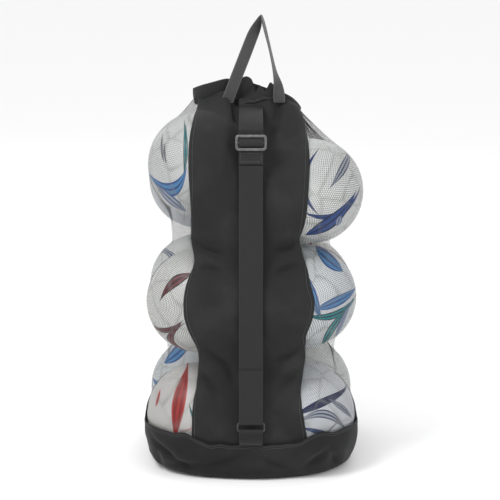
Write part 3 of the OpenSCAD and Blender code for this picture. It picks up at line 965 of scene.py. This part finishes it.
def settleCloth():
    cols, rows = bag["cols"], bag["rows"]
    plan, around = baseOutline(cols, halfBase - 0.002)
    stepAcross = around / cols
    panelCols = int(round(bag["panelWidth"] / stepAcross / 2)) * 2
    first, last = (cols - panelCols) // 2, (cols + panelCols) // 2
    top = mouthSeam(cols, panelCols)
    v = np.linspace(0, 1, rows)[:, None]
    bottomZ = baseSeam(plan[:, 0], plan[:, 1])
    # Start from an unpinched bag: straight sides, then a slope in to the mouth
    shoulder = bag["shoulder"]
    t = np.clip((v - shoulder) / (1 - shoulder), 0, 1)
    knee = 0.625 + 0.025 * np.sign(-plan[:, 0])[None, :]
    z = np.where(v < shoulder, bottomZ + (knee - bottomZ) * v / shoulder, knee + (top[:, 2] - knee) * t)
    ease = t ** 1.2
    plans = [plan[:, k] * (1 - ease) + top[:, k] * ease for k in (0, 1)]
    grid = np.stack([*plans, z], 2)
    start = grid.copy()
    isPanel = np.zeros(cols)
    isPanel[first:last + 1] = 1
    edgeZ, edgeLeft, edgeRight = np.array(panelEdges).T
    height = start[..., 2]
    slope = np.clip((height - bag["slopeStart"]) / bag["slopeRun"], 0, 1)
    netAcross = stepAcross * (1 - bag["netTaper"] * slope) * (1 - bag["netWaist"] * waistShare(height))
    chord = np.interp(height, edgeZ, edgeRight - edgeLeft) / panelCols
    restAcross = np.where(isPanel[None] > 0, chord * bag["panelEase"], netAcross)
    give = np.tile(bag["netGive"] + (bag["panelGive"] - bag["netGive"]) * isPanel, (rows, 1))
    stiff = np.tile(0.10 + 0.25 * isPanel, (rows, 1))
    panelSpan = slice(first, last + 1)
    share = np.linspace(0, 1, panelCols + 1)[None]
    hold = np.maximum(0.02, 0.35 * np.abs(2 * share - 1) ** 6)
    rng = np.random.default_rng(bag["seed"])
    ripple = rng.normal(size=(rows, cols))
    for _ in range(6):
        ripple = (ripple + np.roll(ripple, 1, 1) + np.roll(ripple, -1, 1)
                  + np.roll(ripple, 1, 0) + np.roll(ripple, -1, 0)) / 5
    ripple = ripple / ripple.std()

    def pinAndHold(grid):
        left = np.interp(grid[:, panelSpan, 2], edgeZ, edgeLeft)
        right = np.interp(grid[:, panelSpan, 2], edgeZ, edgeRight)
        grid[:, panelSpan, 0] += hold * (left + (right - left) * share - grid[:, panelSpan, 0])
        clearBalls(grid)
        coreZ, coreHalf = np.array(loadCore).T
        half = np.interp(grid[..., 2], coreZ, coreHalf)
        half = half + bag["panelCore"] * isPanel * (grid[..., 2] < bag["coreTop"])
        reach = ((grid[..., :2] ** 4).sum(-1)) ** 0.25 + 1e-9
        grid[..., :2] *= np.maximum(half / reach, 1)[..., None]
        under = (np.abs(grid[..., 0]) < bag["strapHalf"]) & (grid[..., 1] < 0)
        under = under & (grid[..., 2] < strapTop[2] + bag["strapOver"])
        limit = strapBack(grid[..., 2]) + bag["strapClear"]
        grid[..., 1] = np.where(under & (grid[..., 1] < limit), limit, grid[..., 1])
        grid[0], grid[-1] = start[0], start[-1]

    # First draw it tight over the balls, to find how long each thread of cloth must be
    tight = np.linalg.norm(np.diff(grid, axis=0), axis=2) * 0.8
    for turn in range(bag["tightRounds"]):
        pullRows(grid, tight, np.zeros_like(tight))
        pullColumns(grid, restAcross * 1.02, give)
        pinAndHold(grid)
    threads = np.linalg.norm(np.diff(grid, axis=0), axis=2)
    for _ in range(8):
        threads = (threads + np.roll(threads, 1, 1) + np.roll(threads, -1, 1)) / 3
    total = threads.sum(0)
    slackHere = bag["netSlack"] + (bag["panelSlack"] - bag["netSlack"]) * isPanel
    slack = 1 + slackHere[None] * waistShare(height[:-1])
    restUp = np.tile(total / (rows - 1), (rows - 1, 1)) * slack
    grid += gridNormals(grid, True) * (ripple * bag["ripple"])[..., None]
    before = grid.copy()
    fullUp = np.vstack([restUp, restUp[-1:]])
    for turn in range(bag["rounds"]):
        speed = (grid - before) * bag["drag"]
        before = grid.copy()
        flat = np.sqrt((grid[..., :2] ** 2).sum(-1, keepdims=True)) + 1e-9
        draw = bag["suck"] * waistShare(grid[..., 2]) * np.where(isPanel > 0, bag["panelDraw"], 1.0)
        push = np.zeros_like(grid)
        push[..., :2] = -grid[..., :2] / flat * draw[..., None]
        push[..., 2] = -bag["fall"]
        grid = grid + speed + push
        for sweep in range(2):
            pullRows(grid, restUp, give[:-1])
            pullColumns(grid, restAcross, give)
        pullSpans(grid, fullUp, restAcross, stiff)
        pinAndHold(grid)
    # Take out the finest ripples
    for turn in range(bag["smoothing"]):
        beside = (np.roll(grid, 1, 1) + np.roll(grid, -1, 1)) / 2
        above = grid.copy()
        above[1:-1] = (grid[2:] + grid[:-2]) / 2
        grid = 0.4 * grid + 0.3 * beside + 0.3 * above
        pinAndHold(grid)
    return grid, restAcross, fullUp, first, last


# Folds worked into the panel: points down each fold as (x, height), then its depth (negative for a ridge)
# and its width in millimetres
panelFolds = [
    ([(-0.036, 0.785), (-0.031, 0.745), (-0.031, 0.705), (-0.035, 0.650)], 17.0, 8.0),
    ([(-0.050, 0.790), (-0.049, 0.745), (-0.055, 0.690), (-0.064, 0.610)], -4.5, 11.0),
    ([(0.056, 0.790), (0.056, 0.760), (0.046, 0.732), (0.033, 0.705)], 14.0, 8.0),
    ([(0.072, 0.782), (0.071, 0.750), (0.060, 0.718), (0.044, 0.688)], -4.0, 9.0),
    ([(-0.088, 0.770), (-0.082, 0.700), (-0.084, 0.600)], 2.4, 12.0),
    ([(0.088, 0.760), (0.084, 0.680), (0.086, 0.580)], 2.0, 12.0),
    ([(-0.124, 0.506), (-0.094, 0.486), (-0.050, 0.474)], 5.5, 8.0),
    ([(-0.118, 0.462), (-0.085, 0.466), (-0.046, 0.452)], -3.2, 8.0),
    ([(-0.118, 0.438), (-0.085, 0.446), (-0.050, 0.430)], 4.2, 7.0),
    ([(-0.126, 0.530), (-0.095, 0.515), (-0.060, 0.512)], -2.6, 9.0),
    ([(0.100, 0.508), (0.072, 0.488), (0.036, 0.478)], 5.5, 8.0),
    ([(0.112, 0.460), (0.076, 0.464), (0.040, 0.450)], -3.2, 8.0),
    ([(0.114, 0.432), (0.080, 0.444), (0.044, 0.432)], 4.2, 7.0),
    ([(0.102, 0.530), (0.074, 0.514), (0.042, 0.510)], -2.4, 9.0),
    ([(-0.108, 0.286), (-0.080, 0.262), (-0.048, 0.236), (-0.032, 0.196)], 5.5, 8.0),
    ([(-0.112, 0.258), (-0.086, 0.232), (-0.058, 0.196)], -3.0, 8.0),
    ([(-0.114, 0.226), (-0.088, 0.206), (-0.066, 0.166)], 4.0, 7.0),
    ([(0.112, 0.288), (0.080, 0.262), (0.044, 0.246)], 5.5, 8.0),
    ([(0.108, 0.252), (0.076, 0.236), (0.042, 0.216)], -3.0, 8.0),
    ([(0.104, 0.228), (0.076, 0.208), (0.050, 0.180)], 3.6, 7.0),
    ([(-0.100, 0.118), (-0.082, 0.096)], 2.4, 6.0),
    ([(-0.062, 0.112), (-0.056, 0.084)], -2.0, 7.0),
    ([(0.094, 0.116), (0.076, 0.094)], 2.4, 6.0),
    ([(0.055, 0.110), (0.048, 0.084)], -2.0, 7.0),
]


def workFolds(grid, first, last):
    # Push the panel in or out along each fold, fading at both ends, and keep it off the balls
    part = grid[:, first:last + 1]
    normal = gridNormals(part, False)
    spot = part[..., (0, 2)]
    shift = np.zeros(spot.shape[:2])
    for points, depth, width in panelFolds:
        path = curve(points, 40)
        gap = np.linalg.norm(spot[:, :, None] - path[None, None], axis=3)
        nearest = gap.min(axis=2)
        along = gap.argmin(axis=2) / 39
        fade = np.sin(math.pi * np.clip(along, 0.02, 0.98)) ** 0.7
        if points[0][1] > 0.75:
            fade = np.cos(math.pi / 2 * np.clip(along, 0, 0.98)) ** 0.8
        strength = 1.0 if points[0][1] > 0.75 else 2.1
        shift += depth * strength * mm * fade * np.exp(-(nearest / (width * mm)) ** 2)
    share = np.linspace(0, 1, last - first + 1)[None]
    rows = np.linspace(0, 1, len(grid))[:, None]
    hold = np.minimum(1, 12 * share * (1 - share)) * np.minimum(1, 30 * rows) * np.minimum(1, 40 * (1 - rows))
    moved = part - normal * (shift * hold)[..., None]
    clearBalls(moved)
    grid[:, first:last + 1] = moved
    return grid


print("settling the cloth")
clothGrid, restAcross, restUp, panelFirst, panelLast = settleCloth()
clothGrid = workFolds(clothGrid, panelFirst, panelLast)
print("cloth settled:", clothGrid.shape)


def flatCloth(columns):
    # Flat cloth coordinates of some columns: rows gathered in towards the middle, threads laid straight
    across = restAcross[:, columns]
    u = np.cumsum(across, axis=1)
    u -= u[:, len(columns) // 2][:, None]
    v = np.cumsum(restUp[:, columns], axis=0)
    return np.stack([u, v], axis=2)


def makeBagBody():
    cols = clothGrid.shape[1]
    netCols = list(range(panelLast - 1, cols)) + list(range(0, panelFirst + 2))
    netFlat = flatCloth(netCols)
    net = addSheet("netBody", clothGrid[:, netCols], -0.5 * mm, 0.6 * mm, "net", netFlat)
    settle(net, "root", "net_knit", "mesh_body")
    panelCols = list(range(panelFirst - 1, panelLast + 2))
    panelFlat = flatCloth(panelCols)
    panel = addSheet("frontPanel", clothGrid[:, panelCols], 0.4 * mm, 1.7 * mm, "panel", panelFlat)
    addSubdivision(panel)
    settle(panel, "root", "panel_cloth", "front_panel")
    normals = gridNormals(clothGrid, True)
    parts = []
    for col in (panelFirst, panelLast):
        parts += stitchParts(clothGrid[2:-2, col] + normals[2:-2, col] * 1.75 * mm, normals[2:-2, col])
    addStitches("panelStitches", parts, "root")


makeBagBody()
print("net and panel made")


# Base

base = {
    "cols": 288, "rows": 22, "round": 0.020, "thick": 1.4 * mm, "slump": 3.4 * mm,
    "discRadius": 0.222, "discHeight": 0.085, "discShare": 0.75, "creaseDepth": 3.6,
    "hem": 0.002, "bulge": 3.0 * mm,
}
# Creases in the stiff base cloth: (place round the base, height, run round, run up, depth)
creases = [
    (-0.185, 0.055, 0.060, -0.040, 4.5), (-0.150, 0.030, 0.070, 0.010, 3.5),
    (-0.060, 0.040, 0.060, 0.018, 2.5), (0.050, 0.036, 0.055, -0.020, 2.8),
    (0.140, 0.045, 0.040, 0.030, 3.2), (0.200, 0.035, 0.040, -0.030, 3.6),
    (-0.230, 0.030, 0.030, 0.040, 3.0), (0.330, 0.050, 0.060, 0.030, 3.0),
    (-0.340, 0.050, 0.060, -0.030, 3.2), (0.480, 0.040, 0.060, 0.030, 3.0),
    (-0.500, 0.045, 0.060, 0.020, 3.0), (0.640, 0.040, 0.050, -0.030, 3.0),
    (-0.660, 0.040, 0.060, 0.030, 3.0), (0.780, 0.045, 0.050, 0.020, 2.6),
]


def creaseDepth(around, height, total):
    depth = np.zeros_like(around)
    for at, level, runAround, runUp, deep in creases:
        off = (around - at + total / 2) % total - total / 2
        length = math.hypot(runAround, runUp)
        along = (off * runAround + (height - level) * runUp) / length
        across = (-off * runUp + (height - level) * runAround) / length
        fade = np.exp(-(along / (length * 0.55)) ** 2)
        wide = 0.008 + 0.004 * fade
        groove = np.exp(-(across / wide) ** 2) * 0.9
        ridge = np.exp(-((across - 0.014) / wide) ** 2) * 0.6
        depth += deep * base["creaseDepth"] * mm * fade * (groove - ridge)
    return depth


def makeBase():
    cols, rows, r = base["cols"], base["rows"], base["round"]
    plan, total = baseOutline(cols, halfBase + 1.4 * mm)
    side = unit(np.roll(plan, -1, 0) - np.roll(plan, 1, 0))
    out = np.stack([side[:, 1], -side[:, 0]], 1)
    top = baseSeam(plan[:, 0], plan[:, 1])
    around = (np.arange(cols) / cols - 0.5) * total
    v = np.linspace(0, 1, rows)[:, None]
    z = v ** 1.25 * (top + base["hem"])
    low = np.clip(1 - z / r, 0, 1)
    tuck = r * (1 - np.sqrt(1 - low ** 2))
    phase = around * 2 * math.pi / total
    waves = 0.5 * np.sin(7 * phase + 1) + 0.3 * np.sin(13 * phase) + 0.2 * np.sin(29 * phase + 2)
    slump = base["slump"] * waves
    rise = np.sin(np.clip(z / top, 0, 1) * math.pi)
    belly = rise * slump
    depth = creaseDepth(np.tile(around, (rows, 1)), z, total) * rise ** 0.5
    push = -tuck + belly - depth
    push = np.minimum(push, base["bulge"])
    # The bottom edge is rounder in plan than the seam above it
    disc = unit(plan) * base["discRadius"]
    sink = (np.clip(1 - z / base["discHeight"], 0, 1) ** 1.6 * base["discShare"])[..., None]
    grid = np.zeros((rows, cols, 3))
    grid[..., :2] = plan[None] * (1 - sink) + disc[None] * sink + out[None] * push[..., None]
    grid[..., 2] = z
    flat = np.stack([np.tile(np.arange(cols) * total / cols, (rows, 1)), z], axis=2)
    wall = addSheet("baseWall", grid, 0.0, base["thick"], "base", flat, wrap=True)
    addSubdivision(wall)
    settle(wall, "root", "base_cloth", "base_wall")
    # Floor panel: rings in from the tucked edge, slightly dished off the ground
    edge = grid[0, :, :2]
    rings = []
    for k, share in enumerate((0.995, 0.9, 0.7, 0.45, 0.2)):
        ring = np.zeros((cols, 3))
        ring[:, :2] = edge * share
        ring[:, 2] = 0.4 * mm + 0.5 * mm * math.sin(k)
        rings.append(ring)
    rings = np.array(rings)
    normal = np.array([0, 0, 1.0])
    points = np.concatenate([(rings + normal * 0.9 * mm).reshape(-1, 3),
                             (rings - normal * 0.4 * mm).reshape(-1, 3)])
    faces = sheetFaces(len(rings), cols, True)
    half = len(rings) * cols
    inner = (len(rings) - 1) * cols
    faces.append([inner + c for c in range(cols)])
    faces.append([half + inner + c for c in range(cols)][::-1])
    floor = addPiece("baseFloor", points, faces, "base", points[:, :2], smooth=False)
    settle(floor, "root", "base_cloth", "base_floor")
    normals = gridNormals(grid, True)
    parts = []
    for lower in (2, 3):
        row = rows - lower
        ring = grid[row] + normals[row] * (base["thick"] + 0.1 * mm)
        ring[:, 2] = top + base["hem"] - 0.004 * (lower - 1)
        parts += stitchParts(closeRing(ring), closeRing(normals[row]))
    addStitches("baseStitches", parts, "root")


makeBase()
print("base made")


# Collar

collar = {"cols": 420, "rows": 12, "thick": 1.6 * mm, "belly": 2.5 * mm, "strapLift": 3.2 * mm,
          "stand": 2.0 * mm, "width": 0.045}


def makeCollar():
    cols, rows = collar["cols"], collar["rows"]
    seam, high = curve(seamRing, cols, closed=True), curve(rimRing, cols, closed=True)
    low = seam[:, (0, 1, 3)]
    v = np.linspace(0, 1, rows)[:, None, None]
    grid = low[None] * (1 - v) + high[None] * v
    swell = np.sin(v * math.pi) * collar["belly"]
    # The hem stands out where it covers the top of the strap
    over = np.clip((0.040 - np.abs(low[:, 0] + 0.002)) / 0.010, 0, 1) * (low[:, 1] < 0) * collar["strapLift"]
    swell = swell + (over[None, :, None] * np.clip(1 - 1.3 * v, 0, 1))
    grid += gridNormals(grid, True) * swell
    edge = np.linalg.norm(np.roll(low, -1, 0) - low, axis=1).sum()
    flat = flatGrid(rows, cols, collar["width"], edge)
    outer = collar["stand"] + collar["thick"]
    band = addSheet("collarBand", grid, collar["stand"], outer, "collar", flat, wrap=True)
    settle(band, "root", "collar_cloth", "collar")
    normals = gridNormals(grid, True)
    parts = []
    for row in (1, 2):
        ring = grid[row] + normals[row] * (outer + 0.05 * mm)
        parts += stitchParts(closeRing(ring), closeRing(normals[row]))
    addStitches("collarStitches", parts, "root")


makeCollar()
print("collar made")


# Grab handle

def makeHandle():
    low, high = boxes["grab_handle"]
    y = (low[1] + high[1]) / 2
    feet = boxes["handle_feet"]
    left, right = feet[0][0] + handle["width"] / 2, feet[1][0] - handle["width"] / 2
    hinge = (low[2] + feet[1][2]) / 2
    top = high[2] - 1.2 * mm
    peak = 0.0205
    end = hinge - handle["foot"]
    stand = handle["stand"]
    # Each point: place, then the way the webbing's width points (it twists over the peak)
    points = [
        (left - 0.003, y - stand, end, 1, 0.0, -0.20),
        (left - 0.001, y - stand, hinge - 0.006, 1, 0.0, -0.25),
        (left + 0.014, y - stand, hinge + 0.034, 1, 0.02, -0.38),
        (left + 0.035, y - 0.002, hinge + 0.088, 1, 0.06, -0.38),
        (left + 0.049, y - 0.001, hinge + 0.124, 0.92, 0.25, -0.36),
        (peak - 0.008, y, top - 0.022, 0.7, 0.62, -0.28),
        (peak - 0.003, y, top - 0.007, 0.35, 0.95, -0.10),
        (peak, y, top, 0.08, 1.0, 0.0),
        (peak + 0.003, y, top - 0.007, 0.15, 1.0, 0.04),
        (peak + 0.008, y, top - 0.026, 0.22, 1.0, 0.06),
        (peak + 0.020, y, top - 0.075, 0.16, 1.0, 0.05),
        (right - 0.006, y + 0.001, hinge + 0.048, 0.30, 0.95, 0.1),
        (right + 0.001, y + 0.001, hinge + 0.018, 0.75, 0.6, 0.15),
        (right + 0.003, y - stand / 2, hinge - 0.004, 1, 0.1, 0.1),
        (right + 0.003, y - stand / 2, end, 1, 0.0, 0.05),
    ]
    path = curve(points, 190)
    webbing = addWebbing("grabHandle", path[:, :3], path[:, 3:], handle["width"], handle["thick"], "handle")
    addSubdivision(webbing)
    settle(webbing, "root", "handle_webbing", "grab_handle", "handle_feet")
    webbing.parent = None
    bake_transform(webbing)
    parts = []
    reach = 0.0105
    fine = (1.8 * mm, 0.5 * mm, 0.35 * mm)
    for x, out in ((left - 0.002, stand), (right + 0.003, stand / 2)):
        front = y - out - handle["thick"] / 2 - 0.05 * mm
        for z in (hinge - 0.0085, hinge - 0.0145):
            for row in (0, 0.8):
                level = z - row * mm
                parts += straightStitches((x - reach, front, level), (x + reach, front, level), *fine)
    addStitches("handleStitches", parts, "root", "handle_bartacks")


makeHandle()
print("handle made")


# Shoulder strap

def onStrap(z, out):
    return (0.0, strapBack(z) - out, z)


def strapPiece(name, points, body, replaced, count):
    path = curve(points, count)
    side = np.tile((1.0, 0, 0), (count, 1))
    piece = addWebbing(name, path, side, strap["width"], strap["thick"], "strap")
    return settle(piece, body, "strap_webbing", *replaced)


def arc(centre, radius, start, end, count=14):
    return [(0.0, centre[1] + radius * math.cos(a), centre[2] + radius * math.sin(a))
            for a in np.radians(np.linspace(start, end, count))]


def makeStrap():
    t = strap["thick"] / 2
    seamZ = boxes["strap_front"][0][2]
    tailZ = boxes["strap_front"][1][2]
    lowZ = boxes["strap_loop"][1][2]
    midOut = layerStep + t
    slider = boxes["strap_slider"]
    ring = boxes["strap_ring"]
    sliderZ = (slider[0][2] + slider[1][2]) / 2
    sliderY = (slider[0][1] + slider[1][1]) / 2
    ringWire = strap["ringWire"]
    ringLean = 0.55 * mm
    ringMiddle = (ring[0][1] + ring[1][1]) / 2
    ringLow = np.array((0, ringMiddle - ringLean, ring[0][2] + ringWire))
    ringTop = np.array((0, ringMiddle + ringLean, ring[1][2] - ringWire))
    # The long run, from under the collar over the shoulder to just above the ring
    strapPiece("strapLong", [
        (0, -0.0630, 0.786), (0, -0.0662, 0.777), (0, -0.0715, 0.7712), (0, -0.086, 0.7685),
        (0, -0.108, 0.766), (0, -0.138, 0.761), (0, -0.164, 0.751), (0, -0.181, 0.739),
        onStrap(0.727, t), onStrap(0.712, t), onStrap(0.60, t), onStrap(0.45, t),
        onStrap(0.33, t), onStrap(seamZ, t)], "root", ["strap_long"], 160)
    front = strapPiece("strapFront", [onStrap(tailZ, midOut), onStrap((tailZ + seamZ) / 2, midOut),
                                      onStrap(seamZ, midOut)], "root", ["strap_front"], 60)
    # The stretch at the ring: both layers and the turn round its top bar
    r = ringWire + strap["air"] + t
    loop = strapPiece("strapLoop", [
        onStrap(seamZ, t), onStrap(0.20, t), onStrap(lowZ + 0.01, t),
        onStrap(ringTop[2] + 0.010, t - 0.7 * mm)]
        + arc(ringTop, r, 0, -180)
        + [onStrap(ringTop[2] + 0.010, midOut + 0.7 * mm), onStrap(lowZ + 0.01, midOut),
           onStrap(0.20, midOut), onStrap(seamZ, midOut)], "root", ["strap_lower", "strap_loop"], 150)
    loop.parent = None
    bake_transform(loop)
    # Sewn end folded round the slider's middle bar
    bar = np.array((0, sliderY + 1.0 * mm, sliderZ))
    r = strap["barWire"] + strap["air"] + t
    tailOut = midOut + strap["thick"] + strap["air"]
    strapPiece("strapFold", [onStrap(tailZ, midOut), onStrap(sliderZ - 0.012, midOut)]
               + arc(bar, r, 0, 180)
               + [(0, bar[1] - r + 0.9 * mm, sliderZ - 3 * mm),
                  onStrap(sliderZ - 0.010, tailOut + 1.3 * mm),
                  onStrap(sliderZ - 0.0135, tailOut), onStrap(sliderZ - 0.03, tailOut),
                  onStrap(tailZ + 0.001, tailOut)], "slider", ["strap_fold"], 110)
    out = strapBack(sliderZ) - (bar[1] - r - strap["thick"] - 0.4 * mm)
    strapPiece("strapHump", [
        onStrap(sliderZ + 0.026, layerStep + 0.9 * mm), onStrap(sliderZ + 0.018, layerStep + 1.0 * mm),
        onStrap(sliderZ + 0.0125, layerStep + 1.9 * mm), onStrap(sliderZ + 0.0085, out - 4.5 * mm),
        onStrap(sliderZ + 0.0045, out - 0.8 * mm), onStrap(sliderZ, out),
        onStrap(sliderZ - 0.0045, out - 0.8 * mm),
        onStrap(sliderZ - 0.0075, out - 3.2 * mm)], "slider", ["strap_hump"], 50)
    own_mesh(front)
    # Tab sewn into the base seam, up round the ring's lower bar
    baseFace = boxes["base_wall"][0][1] - 1.2 * mm
    r = ringWire + strap["air"] + t
    strapPiece("ringTab", [(0, baseFace, strap["tabEnd"]), (0, baseFace - 0.4 * mm, 0.090),
                           (0, baseFace - 1.5 * mm, 0.100)]
               + arc(ringLow, r, 0, 180)
               + [(0, ringLow[1] - r + 0.8 * mm, ringLow[2] - 5 * mm), (0, baseFace - 2.9 * mm, 0.094),
                  (0, baseFace - 2.4 * mm, 0.086), (0, baseFace - 2.2 * mm, strap["tabEnd"])],
               "root", ["ring_tab"], 90)
    # Thread: the box of stitching on the sewn end, rows on the tab
    parts = []
    faceOut = tailOut + t + 0.05 * mm
    boxSide = 0.021
    upper, lower = (onStrap(z, faceOut) for z in (sliderZ - 0.020, tailZ + 0.004))
    for x in (-boxSide, boxSide):
        parts += straightStitches((x, *upper[1:]), (x, *lower[1:]))
    for z in (tailZ + 0.004, tailZ + 0.007, sliderZ - 0.022):
        y = onStrap(z, faceOut)[1]
        parts += straightStitches((-boxSide, y, z), (boxSide, y, z))
    addStitches("foldStitches", parts, "slider")
    parts = []
    for z in (strap["tabEnd"] + 3 * mm, strap["tabEnd"] + 6 * mm):
        y = baseFace - 2.3 * mm - t - 0.1 * mm
        parts += straightStitches((-0.023, y, z), (0.023, y, z))
    addStitches("tabStitches", parts, "root", "ring_tab_bartack")


makeStrap()


def roundedFrame(centre, wide, high, corner, tilt):
    # Centre line of a rounded rectangle standing in the strap's plane
    line = []
    for sx, sz, start in ((1, 1, 0), (-1, 1, 90), (-1, -1, 180), (1, -1, 270)):
        for a in np.radians(np.linspace(start, start + 90, 9)):
            x = sx * (wide / 2 - corner) + corner * math.cos(a)
            z = sz * (high / 2 - corner) + corner * math.sin(a)
            line.append((x, z * tilt[1] / tilt[2], z))
    line = np.array(line)
    fine = []
    for i in range(len(line)):
        a, b = line[i], line[(i + 1) % len(line)]
        pieces = max(1, int(np.linalg.norm(b - a) / 2.5e-3))
        fine += [a + (b - a) * k / pieces for k in range(pieces)]
    return np.array(fine) + centre


def makeHardware():
    low, high = boxes["strap_slider"]
    centre = (low + high) / 2
    wire = strap["sliderWire"]
    size = high - low
    line = roundedFrame(centre, size[0] - 1.6 * mm, size[2] - 5.4 * mm, 4.5 * mm, strapDown)
    bars = np.array([(x, centre[1] + 1.0 * mm, centre[2]) for x in np.linspace(-0.0285, 0.0285, 16)])
    parts = [tube(line, wire, True, 16, 0.62), tube(bars, strap["barWire"], False, 12)]
    points, faces = joinParts(parts)
    settle(addPiece("slider", points, faces, "slider"), "slider", "slider_metal", "strap_slider")
    low, high = boxes["strap_ring"]
    centre = (low + high) / 2
    wire = strap["ringWire"]
    size = high - low
    line = roundedFrame(centre, size[0] - 2 * wire, size[2] - 2 * wire, 3 * mm, strapDown)
    points, faces = tube(line, wire, True, 14)
    settle(addPiece("baseRing", points, faces, "blackened"), "ring", "blackened_metal", "strap_ring")
    refinish("drawcord_eyelets", "blackened")


makeHardware()
print("strap and hardware made")
